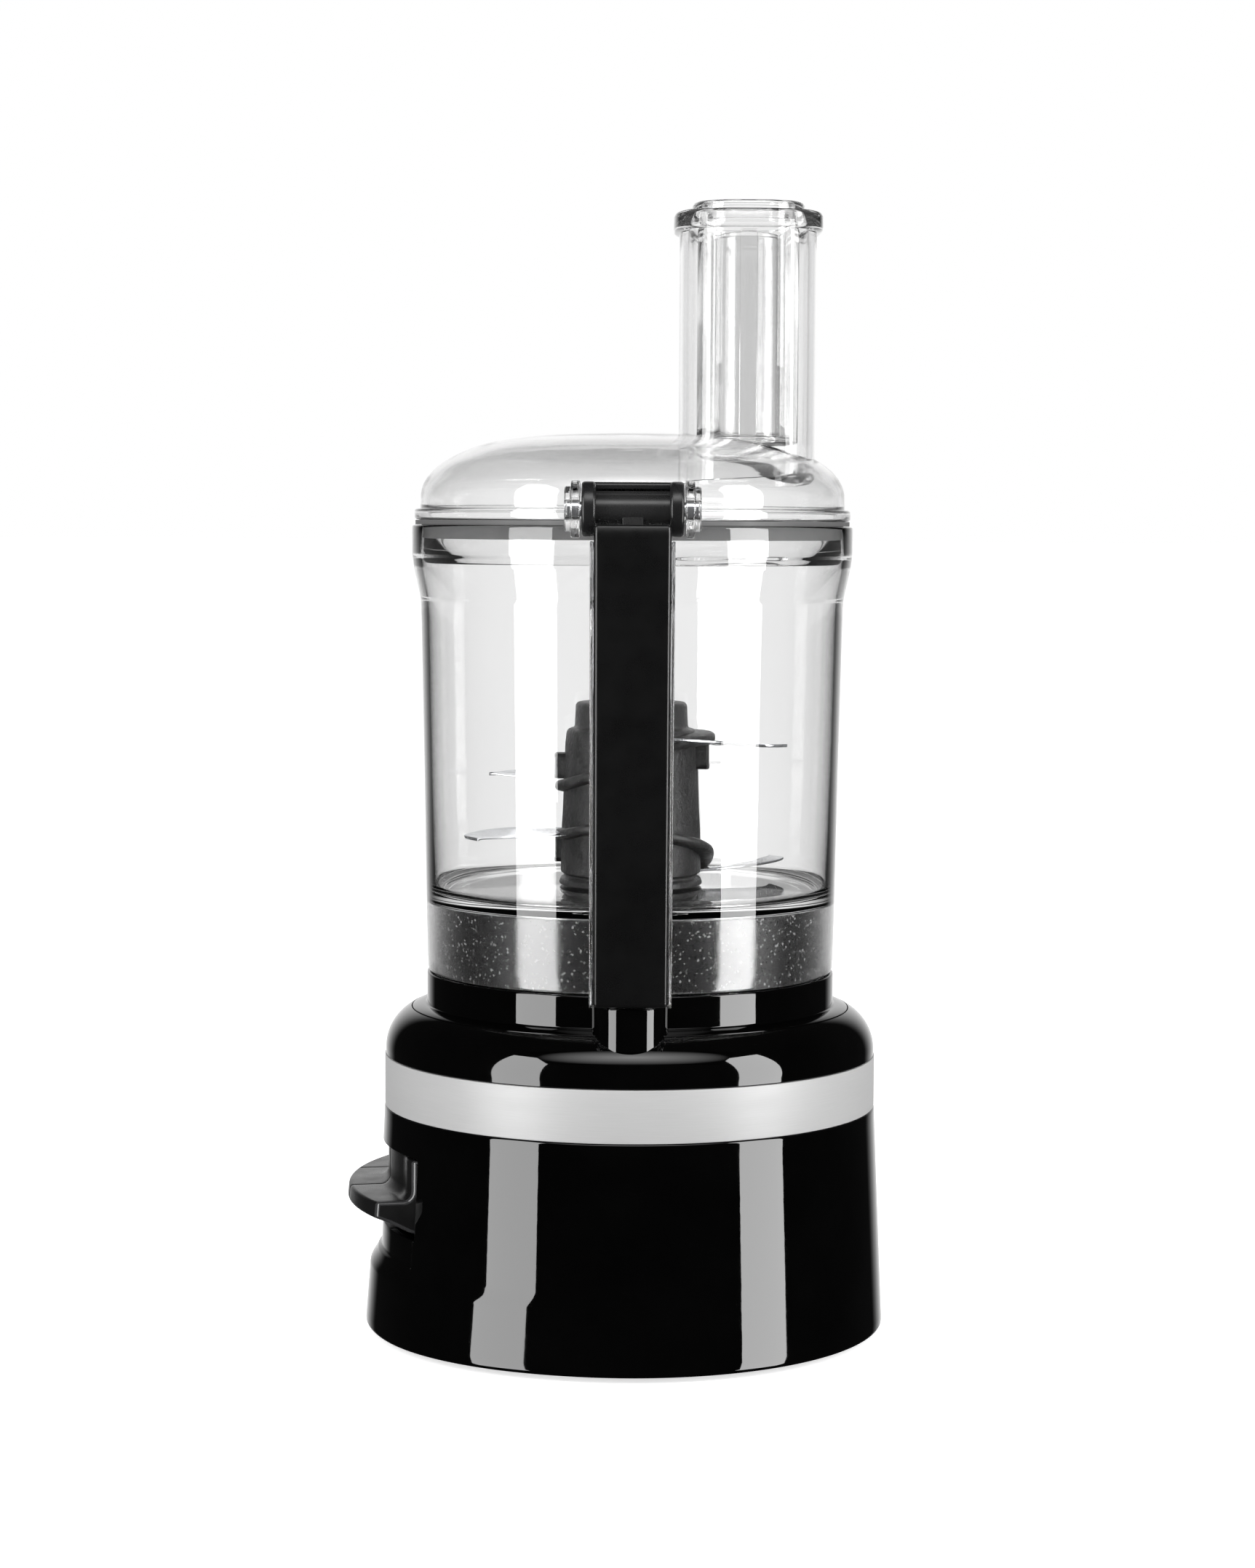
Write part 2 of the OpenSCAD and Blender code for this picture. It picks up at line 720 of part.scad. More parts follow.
module small_pusher() {
    rib_w = 5.8;
    color([0.9, 0.93, 0.95, 0.4]) translate([-1, tube_y, 0]) {
        difference() {
            translate([0, 0, pusher_floor_z]) cylinder(r = small_r, h = small_top_z - pusher_floor_z);
            translate([0, 0, pusher_floor_z + 2])
                cylinder(r = small_r - pusher_wall, h = small_top_z - pusher_floor_z);
        }
        // stiffening rib up the handle side of the cup
        translate([small_r - pusher_wall - 2.4, -rib_w / 2, pusher_floor_z + 1])
            cube([2.6, rib_w, small_top_z - pusher_floor_z + 2]);
    }
}

// ---------- adapter and blades ----------
module drive_adapter() {
    half = coupling_square / 2 + gap;
    head = head_square / 2;
    color([0.9, 0.88, 0.84]) difference() {
        union() {
            translate([0, 0, 133.5]) cylinder(r = tube_in_r - 0.6, h = 18);
            translate([0, 0, 151]) cylinder(r = 6, h = 56);
            translate([-head, -head, 206.2]) cube([head_square, head_square, 16]);
        }
        translate([-half, -half, 130]) cube([2 * half, 2 * half, 17]);
    }
}

module blade_hub() {
    half = socket_square / 2;
    color([0.2, 0.2, 0.21]) difference() {
        union() {
            rotate_extrude() polygon([
                [0, floor_z + 0.8], [26.4, floor_z + 0.8], [25.3, 164], [hub_r, 165.6],
                [hub_r, 214], [24.4, 219.4], [20.6, 219.6], [20.3, 220],
                [20.3, hub_top_z - 1], [19.3, hub_top_z], [0, hub_top_z]]);
            // ledges that carry the blades
            for (b = blade_seats) rotate([0, 0, b[1]]) translate([0, 0, b[0] - 2.6]) intersection() {
                cylinder(r = hub_r + 5.5, h = 5.2);
                translate([0, -13, 0]) cube([40, 26, 10]);
            }
        }
        translate([0, 0, 150]) cylinder(r = hub_bore_r, h = 57);
        translate([-half, -half, 206]) cube([2 * half, 2 * half, 17]);
    }
}

// height and direction of each blade
blade_seats = [[216.5, 37], [200, -143], [181.2, -68], [165.4, 112]];

// sickle blade: concave cutting edge, convex back, root inside the hub
module blade_outline() {
    polygon(concat(
        [[18, -9], [30, -10.5]],
        arc_pts(30, 34, 44.5, -90, -34, 8),
        [[blade_r * cos(16), blade_r * sin(16)]],
        arc_pts(26, 66, 60.5, -56, -90, 6),
        [[18, 7]]));
}

module blade_pair(first) {
    color([0.8, 0.81, 0.83]) for (i = [first : first + 1])
        rotate([0, 0, blade_seats[i][1]]) translate([0, 0, blade_seats[i][0] - blade_t / 2])
            linear_extrude(blade_t) blade_outline();
}

module upper_blades() { blade_pair(0); }
module lower_blades() { blade_pair(2); }

base_housing();
bowl_dock();
trim_band();
base_plate();
rubber_feet();
base_screws();
chassis();
motor_can();
motor_end_cap();
brush_holders();
shaft_bearings();
shaft_seal();
drive_belt();
control_bezel();
key_pivot_rod();
control_board();
key_switches();
interlock_switch();
cord_gland();
drive_shaft();
drive_pulley();
drive_coupling();
motor_armature();
motor_shaft();
motor_pulley();
cooling_fan();
pulse_key();
low_key();
high_key();
bowl();
bowl_skirt();
handle_frame();
handle_cover();
handle_screws();
bowl_bush();
rod_spring();
interlock_rod();
lid();
lid_seal();
latch_pin();
latch_lever();
large_pusher();
small_pusher();
drive_adapter();
blade_hub();
upper_blades();
lower_blades();
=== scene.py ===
import bpy
import bmesh
import math
import random
from math import acos, asin, atan, atan2, cos, pi, radians, sin, sqrt, tan
from mathutils import Matrix, Vector


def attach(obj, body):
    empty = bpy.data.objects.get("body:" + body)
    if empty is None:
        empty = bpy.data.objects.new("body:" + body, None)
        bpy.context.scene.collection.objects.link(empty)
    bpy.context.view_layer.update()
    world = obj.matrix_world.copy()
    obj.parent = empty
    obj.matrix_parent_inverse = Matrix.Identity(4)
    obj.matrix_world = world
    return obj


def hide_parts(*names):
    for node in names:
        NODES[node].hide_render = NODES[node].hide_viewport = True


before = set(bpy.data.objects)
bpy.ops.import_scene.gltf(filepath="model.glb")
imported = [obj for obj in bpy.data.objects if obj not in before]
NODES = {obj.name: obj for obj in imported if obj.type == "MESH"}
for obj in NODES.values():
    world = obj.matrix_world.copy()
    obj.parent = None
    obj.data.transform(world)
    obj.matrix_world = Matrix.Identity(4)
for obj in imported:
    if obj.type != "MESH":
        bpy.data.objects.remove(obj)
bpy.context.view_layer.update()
SCENE = bpy.context.scene
MM = 0.001
random.seed(7)

# ---------------------------------------------------------------- material tools


def grey(value):
    return (value, value, value)


class Shader:
    """A Principled material built up node by node."""

    def __init__(self, name, color=grey(0.5), rough=0.4, **sockets):
        self.mat = bpy.data.materials.new(name)
        self.mat.use_nodes = True
        self.tree = self.mat.node_tree
        self.bsdf = self.tree.nodes["Principled BSDF"]
        self.out = self.tree.nodes["Material Output"]
        self.set("Base Color", (*color, 1.0))
        self.set("Roughness", rough)
        for key, value in sockets.items():
            self.set(key.replace("_", " "), value)
        self.coord = self.node("ShaderNodeTexCoord").outputs["Object"]

    def set(self, socket, value):
        self.bsdf.inputs[socket].default_value = value

    def node(self, kind, **props):
        n = self.tree.nodes.new(kind)
        for k, v in props.items():
            setattr(n, k, v)
        return n

    def link(self, a, b):
        self.tree.links.new(a, b)

    def to(self, socket, out):
        self.link(out, self.bsdf.inputs[socket])

    def mapping(self, scale, src=None):
        m = self.node("ShaderNodeMapping")
        m.inputs["Scale"].default_value = scale
        self.link(src or self.coord, m.inputs["Vector"])
        return m.outputs["Vector"]

    def noise(self, scale, detail=3.0, rough=0.5, vector=None, distortion=0.0):
        n = self.node("ShaderNodeTexNoise")
        n.inputs["Scale"].default_value = scale
        n.inputs["Detail"].default_value = detail
        n.inputs["Roughness"].default_value = rough
        n.inputs["Distortion"].default_value = distortion
        self.link(vector or self.coord, n.inputs["Vector"])
        return n.outputs["Fac"]

    def voronoi(self, scale, feature="F1", out="Distance", vector=None):
        n = self.node("ShaderNodeTexVoronoi", feature=feature)
        n.inputs["Scale"].default_value = scale
        self.link(vector or self.coord, n.inputs["Vector"])
        return n.outputs[out]

    def ramp(self, src, lo, hi, a=0.0, b=1.0, clamp=True):
        n = self.node("ShaderNodeMapRange", clamp=clamp)
        n.inputs["From Min"].default_value = lo
        n.inputs["From Max"].default_value = hi
        n.inputs["To Min"].default_value = a
        n.inputs["To Max"].default_value = b
        self.link(src, n.inputs["Value"])
        return n.outputs["Result"]

    def math(self, op, a, b=None):
        n = self.node("ShaderNodeMath", operation=op)
        for i, v in enumerate((a, b)):
            if v is None:
                continue
            if isinstance(v, (int, float)):
                n.inputs[i].default_value = v
            else:
                self.link(v, n.inputs[i])
        return n.outputs[0]

    def mix(self, fac, a, b):
        n = self.node("ShaderNodeMix", data_type="RGBA")
        for i, v in ((6, a), (7, b)):
            if isinstance(v, tuple):
                n.inputs[i].default_value = (*v, 1.0) if len(v) == 3 else v
            else:
                self.link(v, n.inputs[i])
        self.link(fac, n.inputs[0])
        return n.outputs[2]

    def bump(self, height, distance, strength=1.0, normal=None):
        n = self.node("ShaderNodeBump")
        n.inputs["Strength"].default_value = strength
        n.inputs["Distance"].default_value = distance
        self.link(height, n.inputs["Height"])
        if normal is not None:
            self.link(normal, n.inputs["Normal"])
        return n.outputs["Normal"]

    def edges(self, lo=0.53, hi=0.6):
        g = self.node("ShaderNodeNewGeometry")
        return self.ramp(g.outputs["Pointiness"], lo, hi)

    def around(self, rate, height, spin=0.0):
        """Coordinates that run round the vertical axis: (angle * rate, z * height)."""
        s = self.node("ShaderNodeSeparateXYZ")
        self.link(self.coord, s.inputs[0])
        a = self.math("ARCTAN2", s.outputs["Y"], s.outputs["X"])
        c = self.node("ShaderNodeCombineXYZ")
        self.link(self.math("MULTIPLY", a, rate), c.inputs["X"])
        self.link(self.math("MULTIPLY", s.outputs["Z"], height), c.inputs["Y"])
        c.inputs["Z"].default_value = spin
        return c.outputs[0]


def moulded(name, color, rough, grain=900.0, depth=0.02, spread=0.25, wear=0.12, worn=None, **sockets):
    """Moulded plastic, rubber or cast metal: fine grain, uneven colour and gloss, lighter edges."""
    m = Shader(name, color, rough, **sockets)
    cloud = m.noise(38.0, 4.0)
    dark = tuple(c * (1 - spread) for c in color)
    light = tuple(min(1.0, c * (1 + spread)) for c in color)
    base = m.mix(m.ramp(cloud, 0.3, 0.7), dark, light)
    edge = m.math("MULTIPLY", m.edges(), wear)
    worn = worn or tuple(min(1.0, c * 1.8 + 0.02) for c in color)
    m.to("Base Color", m.mix(edge, base, worn))
    fine = m.noise(grain, 3.0, 0.6)
    soft = m.noise(120.0, 3.0)
    r = m.math("ADD", m.ramp(soft, 0.3, 0.7, rough * 0.86, rough * 1.14), m.ramp(fine, 0.3, 0.7, -0.02, 0.03))
    m.to("Roughness", r)
    m.to("Normal", m.bump(fine, depth * MM))
    return m


def machined(name, color, rough, axis="Z", lines=2600.0, **sockets):
    """Turned or drawn metal: fine tool lines, small stains, bright edges."""
    m = Shader(name, color, rough, Metallic=1.0, **sockets)
    scale = {"X": (lines, 60, 60), "Y": (60, lines, 60), "Z": (60, 60, lines)}[axis]
    line = m.noise(1.0, 3.0, 0.6, m.mapping(scale))
    stain = m.noise(70.0, 5.0, 0.65)
    dark = tuple(c * 0.72 for c in color)
    base = m.mix(m.ramp(stain, 0.35, 0.7), color, dark)
    m.to("Base Color", m.mix(m.math("MULTIPLY", m.edges(), 0.5), base,
        tuple(min(1, c * 1.15) for c in color)))
    m.to("Roughness", m.math("ADD", m.ramp(line, 0.3, 0.7, rough * 0.7, rough * 1.25),
        m.ramp(stain, 0.4, 0.8, 0.0, 0.12)))
    m.to("Normal", m.bump(line, 0.02 * MM, 0.6))
    return m


def clear_plastic(name, tint, rough=0.015, ior=1.5, haze=0.05, flow=30.0, cloud=0.02, shadow=0.9,
    grained_below=0.0):
    """Clear moulded plastic: faint flow marks, hairline scratches, lamps shine through it."""
    m = Shader(name, tint, rough, IOR=ior, Transmission_Weight=1.0)
    marks = m.noise(1.0, 2.0, 0.4, m.mapping((flow, flow, flow * 0.35)))
    fine = m.noise(1.0, 2.0, 0.7, m.mapping((2400.0, 2400.0, 160.0)))
    scratch = m.ramp(fine, 0.70, 0.78, 0.0, haze)
    gloss = m.math("ADD", m.ramp(marks, 0.35, 0.7, rough * 0.6, rough * 1.8), scratch)
    if grained_below:
        # a lightly textured zone under this height, in metres
        level = m.node("ShaderNodeSeparateXYZ")
        m.link(m.coord, level.inputs[0])
        gloss = m.math("ADD", gloss, m.ramp(level.outputs["Z"], grained_below - 0.001, grained_below, 0.09,
            0.0))
    m.to("Roughness", gloss)
    deeper = tuple(t * (1 - cloud) for t in tint)
    m.to("Base Color", m.mix(m.ramp(marks, 0.35, 0.7), tint, deeper))
    m.to("Normal", m.bump(marks, 0.12 * MM, 0.5))
    path = m.node("ShaderNodeLightPath")
    through = m.node("ShaderNodeBsdfTransparent")
    through.inputs["Color"].default_value = (shadow, shadow, shadow, 1.0)
    mixer = m.node("ShaderNodeMixShader")
    m.link(path.outputs["Is Shadow Ray"], mixer.inputs[0])
    m.link(m.bsdf.outputs[0], mixer.inputs[1])
    m.link(through.outputs[0], mixer.inputs[2])
    m.link(mixer.outputs[0], m.out.inputs["Surface"])
    return m


# ---------------------------------------------------------------- mesh tools (millimetres)


def arc(cx, cz, r, a0, a1, n):
    return [(cx + r * cos(radians(a0 + (a1 - a0) * i / n)), cz + r * sin(radians(a0 + (a1 - a0) * i / n)))
        for i in range(n + 1)]


def fillet(points, closed=True, n=5):
    """Rounds the corners of a line: points are (x, z) or (x, z, radius)."""
    out = []
    count = len(points)
    for i, p in enumerate(points):
        r = p[2] if len(p) > 2 else 0.0
        if r <= 0 or (not closed and i in (0, count - 1)):
            out.append((p[0], p[1]))
            continue
        here = Vector(p[:2])
        a = Vector(points[i - 1][:2]) - here
        b = Vector(points[(i + 1) % count][:2]) - here
        la, lb = a.length, b.length
        a.normalize()
        b.normalize()
        half = acos(max(-1.0, min(1.0, a.dot(b)))) / 2
        if half > pi / 2 - 0.02:
            out.append((p[0], p[1]))
            continue
        t = min(r / tan(half), 0.48 * la, 0.48 * lb)
        r = t * tan(half)
        centre = here + (a + b).normalized() * (r / sin(half))
        u = here + a * t - centre
        v = here + b * t - centre
        sweep = atan2(u.x * v.y - u.y * v.x, u.dot(v))
        for k in range(n + 1):
            w = sweep * k / n
            out.append((centre.x + u.x * cos(w) - u.y * sin(w), centre.y + u.x * sin(w) + u.y * cos(w)))
    return out


def smooth_line(points, n=6):
    """A smooth line through the points."""
    out = []
    last = len(points) - 1
    for i in range(last):
        p0 = Vector(points[max(i - 1, 0)])
        p1, p2 = Vector(points[i]), Vector(points[i + 1])
        p3 = Vector(points[min(i + 2, last)])
        l0 = max((p1 - p0).length, 1e-6) ** 0.5
        l1 = max((p2 - p1).length, 1e-6) ** 0.5
        l2 = max((p3 - p2).length, 1e-6) ** 0.5
        m1 = (p2 - p1) if i == 0 else ((p1 - p0) / l0 - (p2 - p0) / (l0 + l1) + (p2 - p1) / l1) * l1
        m2 = (p2 - p1) if i == last - 1 else ((p2 - p1) / l1 - (p3 - p1) / (l1 + l2) + (p3 - p2) / l2) * l1
        for k in range(n):
            t = k / n
            h = (2 * t**3 - 3 * t * t + 1) * p1 + (t**3 - 2 * t * t + t) * m1 + (3 * t * t - 2
                * t**3) * p2 + (t**3 - t * t) * m2
            out.append((h.x, h.y))
    out.append(tuple(points[-1]))
    return out


class Shape:
    """Vertices and faces in millimetres, gathered from several solids."""

    def __init__(self):
        self.v, self.f, self.m = [], [], []

    def add(self, verts, faces, mat=0):
        k = len(self.v)
        self.v += verts
        self.f += [tuple(i + k for i in f) for f in faces]
        self.m += [mat] * len(faces)
        return self

    def rings(self, rows, closed_rows=False, caps=True, mat=0):
        """Joins rows of equal length into a skin. Each row is a closed loop of 3-D points."""
        n = len(rows[0])
        verts = [tuple(p) for row in rows for p in row]
        faces = []
        count = len(rows)
        for i in range(count if closed_rows else count - 1):
            a, b = i * n, ((i + 1) % count) * n
            for j in range(n):
                k = (j + 1) % n
                faces.append((a + j, a + k, b + k, b + j))
        if caps and not closed_rows:
            faces.append(tuple(range(n))[::-1])
            faces.append(tuple((count - 1) * n + j for j in range(n)))
        return self.add(verts, faces, mat)

    def revolve(self, profile, seg=160, at=(0.0, 0.0), mat=0):
        """Turns a closed (r, z) outline about the vertical axis through at."""
        verts, faces, rows = [], [], []
        for r, z in profile:
            if r < 1e-4:
                rows.append([len(verts)])
                verts.append((at[0], at[1], z))
            else:
                rows.append(list(range(len(verts), len(verts) + seg)))
                verts += [(at[0] + r * cos(2 * pi * j / seg), at[1] + r * sin(2 * pi * j / seg), z)
                    for j in range(seg)]
        for i in range(len(rows)):
            a, b = rows[i], rows[(i + 1) % len(rows)]
            if len(a) == 1 and len(b) == 1:
                continue
            for j in range(seg):
                k = (j + 1) % seg
                if len(a) == 1:
                    faces.append((a[0], b[k], b[j]))
                elif len(b) == 1:
                    faces.append((a[j], a[k], b[0]))
                else:
                    faces.append((a[j], a[k], b[k], b[j]))
        return self.add(verts, faces, mat)

    def prism(self, outline, y0, y1, r=0.5, n=3, turn=None, mat=0):
        """Extrudes a closed outline (x, z) from y0 to y1 with rounded ends. turn moves each point."""
        area = sum(p[0] * q[1] - q[0] * p[1] for p, q in zip(outline, outline[1:] + outline[:1]))
        if area < 0:
            outline = outline[::-1]
        count = len(outline)
        inward = []
        for i in range(count):
            p, q, s = (Vector(outline[k % count]) for k in (i - 1, i, i + 1))
            a = (q - p).normalized() if (q - p).length > 1e-9 else Vector((1, 0))
            b = (s - q).normalized() if (s - q).length > 1e-9 else Vector((1, 0))
            na, nb = Vector((-a.y, a.x)), Vector((-b.y, b.x))
            m = na + nb
            m = m.normalized() if m.length > 1e-6 else na
            inward.append(m / max(0.5, m.dot(na)))
        rows = []
        ends = [(y0 + r * (1 - sin(radians(90 - 90 * k / n))), r * (1 - cos(radians(90 - 90 * k / n))))
            for k in range(n + 1)] if r > 0 else [(y0, 0)]
        steps = ends + [(y0 + y1 - y, d) for y, d in reversed(ends)]
        for y, d in steps:
            row = [(outline[i][0] + inward[i].x * d, y, outline[i][1] + inward[i].y * d)
                for i in range(count)]
            rows.append([turn(*p) for p in row] if turn else row)
        return self.rings(rows, mat=mat)


def build(name, shape, body, mats, stands=(), sharp=32.0):
    """Makes the mesh object, in metres, and ties it to its CAD body."""
    me = bpy.data.meshes.new(name)
    me.from_pydata([(x * MM, y * MM, z * MM) for x, y, z in shape.v], [], shape.f)
    bm = bmesh.new()
    bm.from_mesh(me)
    bmesh.ops.recalc_face_normals(bm, faces=bm.faces)
    bm.to_mesh(me)
    bm.free()
    ob = bpy.data.objects.new(name, me)
    SCENE.collection.objects.link(ob)
    for m in mats:
        me.materials.append(m.mat)
    for p, k in zip(me.polygons, shape.m):
        p.material_index = k
    if body:
        finish_piece(ob, body, stands, sharp)
    return ob


def finish_piece(ob, body, stands=(), sharp=32.0):
    for p in ob.data.polygons:
        p.use_smooth = True
    ob.data.set_sharp_from_angle(angle=radians(sharp))
    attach(ob, body)
    if stands:
        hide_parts(*stands)
    return ob


def boolean(a, b, operation, solver="MANIFOLD"):
    mod = a.modifiers.new("cut", "BOOLEAN")
    mod.operation = operation
    mod.object = b
    mod.solver = solver
    bpy.context.view_layer.update()
    dg = bpy.context.evaluated_depsgraph_get()
    me = bpy.data.meshes.new_from_object(a.evaluated_get(dg))
    a.modifiers.clear()
    old = a.data
    a.data = me
    bpy.data.meshes.remove(old)
    bpy.data.objects.remove(b)
    return a


# ---------------------------------------------------------------- materials

m = gloss_black = Shader("gloss_black", grey(0.0006), 0.03, IOR=1.5)
_peel = m.noise(190.0, 2.0, 0.4)
_haze = m.noise(30.0, 5.0, 0.6)
_dust = m.ramp(m.noise(1900.0, 1.0), 0.74, 0.80, 0.0, 0.06)
m.to("Roughness", m.math("ADD", m.ramp(_haze, 0.35, 0.75, 0.018, 0.05), _dust))
m.to("Base Color", m.mix(m.ramp(_haze, 0.35, 0.75), grey(0.0005), grey(0.0011)))
m.to("Normal", m.bump(_peel, 0.012 * MM, 0.5))

m = band_metal = Shader("band_aluminium", grey(0.40), 0.5, Metallic=0.18)
_lines = m.noise(1.0, 4.0, 0.65, m.around(5.0, 5200.0))
_broad = m.noise(1.0, 2.0, 0.5, m.around(2.2, 260.0, 3.0))
m.to("Base Color", m.mix(m.ramp(_lines, 0.3, 0.7), grey(0.385), grey(0.425)))
m.to("Roughness", m.math("ADD", m.ramp(_lines, 0.3, 0.7, 0.44, 0.52),
    m.ramp(_broad, 0.3, 0.7, -0.02, 0.04)))
m.to("Normal", m.bump(_lines, 0.006 * MM, 0.5))

m = skirt_grey = Shader("skirt_grey", grey(0.015), 0.3, Specular_IOR_Level=0.28)
_fleck = m.voronoi(1500.0, out="Color")
_sep = m.node("ShaderNodeSeparateColor")
m.link(_fleck, _sep.inputs[0])
_flake = m.ramp(_sep.outputs[0], 0.93, 0.98)
_cloud = m.noise(60.0, 4.0)
_ground = m.mix(m.ramp(_cloud, 0.3, 0.7), grey(0.0015), grey(0.004))
m.to("Base Color", m.mix(_flake, _ground, grey(0.20)))
m.to("Roughness", m.ramp(_sep.outputs[1], 0.0, 1.0, 0.26, 0.46))
m.to("Normal", m.bump(m.noise(1300.0, 2.0), 0.03 * MM, 0.8))

handle_black = moulded("handle_black", (0.0030, 0.0030, 0.0031), 0.30, grain=2200.0, depth=0.012, wear=0.25,
    worn=grey(0.03))
key_black = moulded("key_black", (0.0045, 0.0045, 0.0046), 0.31, grain=2000.0, depth=0.014, wear=0.35,
    worn=grey(0.02))
# the near key's end rim: glossier than the key, and lighter in colour as a painted highlight along the edge
key_rim_painted_highlight = moulded("key_rim_painted_highlight", (0.03, 0.03, 0.031), 0.13, grain=2000.0, depth=0.004, wear=0.2,
    worn=(0.05, 0.05, 0.052))
latch_black = moulded("latch_black", (0.009, 0.009, 0.0093), 0.28, grain=1500.0, depth=0.008, wear=0.3,
    worn=grey(0.04))
inner_black = moulded("inner_plastic", (0.035, 0.036, 0.038), 0.5, grain=800.0)
chassis_grey = moulded("chassis_grey", (0.10, 0.105, 0.11), 0.5, grain=700.0)
seal_grey = moulded("seal_silicone", grey(0.08), 0.5, grain=1200.0, spread=0.1)
rubber_black = moulded("rubber", grey(0.012), 0.72, grain=1400.0, depth=0.03, wear=0.3, worn=grey(0.07))
nylon = moulded("natural_nylon", (0.62, 0.59, 0.50), 0.42, grain=600.0, spread=0.08, Subsurface_Weight=0.1,
    Subsurface_Radius=(0.002, 0.002, 0.0015))
board_green = moulded("board_green", (0.02, 0.11, 0.045), 0.35, grain=300.0, spread=0.3)
steel = machined("zinc_steel", (0.66, 0.67, 0.69), 0.28)
steel_y = machined("pin_steel", (0.70, 0.71, 0.73), 0.2, axis="Y")
cast = moulded("cast_metal", (0.45, 0.455, 0.47), 0.45, grain=500.0, depth=0.05, wear=0.5, worn=grey(0.8),
    Metallic=1.0)
can_steel = machined("motor_steel", (0.42, 0.43, 0.45), 0.34)
bronze = machined("bronze", (0.58, 0.38, 0.20), 0.34)

m = copper = Shader("copper", (0.72, 0.30, 0.14), 0.34, Metallic=1.0)
_wind = m.voronoi(1.0, vector=m.around(14.0, 1500.0))
m.to("Base Color", m.mix(m.ramp(_wind, 0.0, 0.7), (0.80, 0.36, 0.17), (0.30, 0.10, 0.05)))
m.to("Roughness", m.ramp(m.noise(260.0), 0.3, 0.7, 0.26, 0.46))
m.to("Normal", m.bump(_wind, 0.25 * MM, 0.8))

m = hub_grey = Shader("hub_grey", grey(0.01), 0.42)
_spark = m.noise(520.0, 4.0, 0.62)
_patch = m.noise(330.0, 5.0, 0.7, distortion=1.6)
_hub = m.mix(m.ramp(_patch, 0.38, 0.66), grey(0.0008), grey(0.022))
m.to("Base Color", m.mix(m.math("MULTIPLY", m.edges(0.56, 0.66), 0.3), _hub,
    grey(0.05)))
m.to("Roughness", m.ramp(_patch, 0.35, 0.7, 0.30, 0.6))
m.to("Normal", m.bump(_spark, 0.3 * MM, 1.0))

m = blade_metal = Shader("blade_steel", (0.72, 0.73, 0.75), 0.2, Metallic=1.0)
_grind = m.noise(1.0, 3.0, 0.6, m.mapping((150.0, 2600.0, 2600.0)))
m.to("Roughness", m.ramp(_grind, 0.3, 0.7, 0.12, 0.3))
m.to("Base Color", m.mix(m.ramp(m.noise(90.0, 4.0), 0.35, 0.7),
    (0.62, 0.63, 0.65), (0.80, 0.81, 0.83)))
m.to("Normal", m.bump(_grind, 0.01 * MM, 0.6))
m = edge_metal = Shader("blade_edge", (0.88, 0.89, 0.91), 0.12, Metallic=1.0)
_hone = m.noise(1.0, 3.0, 0.6, m.mapping((2800.0, 300.0, 300.0)))
m.to("Roughness", m.ramp(_hone, 0.3, 0.7, 0.08, 0.22))
m.to("Base Color", m.mix(m.ramp(_hone, 0.3, 0.7), (0.80, 0.81, 0.83),
    (0.94, 0.95, 0.97)))
m.to("Normal", m.bump(_hone, 0.008 * MM, 0.6))

clear_bowl = clear_plastic("clear_bowl", grey(0.994), 0.012, 1.52, grained_below=0.1575)
clear_lid = clear_plastic("clear_lid", grey(0.99), 0.02, 1.52, flow=45.0)
clear_tube = clear_plastic("clear_pusher", grey(0.99), 0.03, 1.52, flow=60.0)
rail_grey = clear_plastic("handle_rail", (0.62, 0.62, 0.63), 0.06, 1.5, haze=0.03, flow=12.0)

CARRIED = {
    "base_plate": inner_black, "rubber_feet": rubber_black, "base_screws": steel, "chassis": chassis_grey,
    "motor_can": can_steel, "motor_end_cap": cast, "brush_holders": bronze, "shaft_bearings": bronze,
    "shaft_seal": rubber_black, "drive_belt": rubber_black, "control_bezel": inner_black,
    "key_pivot_rod": steel,
    "control_board": board_green, "key_switches": inner_black, "interlock_switch": inner_black,
    "cord_gland": rubber_black, "drive_shaft": steel, "drive_pulley": cast, "drive_coupling": steel,
    "motor_armature": copper, "motor_shaft": steel, "motor_pulley": cast, "cooling_fan": nylon,
    "handle_screws": steel, "bowl_bush": bronze, "rod_spring": steel, "interlock_rod": nylon,
    "lid_seal": seal_grey, "latch_pin": steel_y, "drive_adapter": nylon,
}
for _name, _mat in CARRIED.items():
    _ob = NODES[_name]
    _ob.data.materials.clear()
    _ob.data.materials.append(_mat.mat)


# ---------------------------------------------------------------- joining


def join(ob, name, shape, look):
    return boolean(ob, build(name, shape, None, [look]), "UNION")


def carve(ob, name, shape, look):
    return boolean(ob, build(name, shape, None, [look]), "DIFFERENCE")


# ---------------------------------------------------------------- base

FOOT_R, TOP_R, BAND_Z, BAND_TOP = 93.0, 89.4, 82.3, 101.0
SHOULDER_R, SHOULDER_C, SHOULDER_Z, SEAM_R = 16.5, 72.5, 103.0, 79.7
FLARE, FLARE_TOP, FOOT_ROUND, RELIEF = 2.7, 30.5, 1.6, 1.2
KEY_HALF, WIN_LOW, WIN_TOP = 49.6, 40.0, 69.2


def ease(t):
    t = max(0.0, min(1.0, t))
    return t * t * (3 - 2 * t)


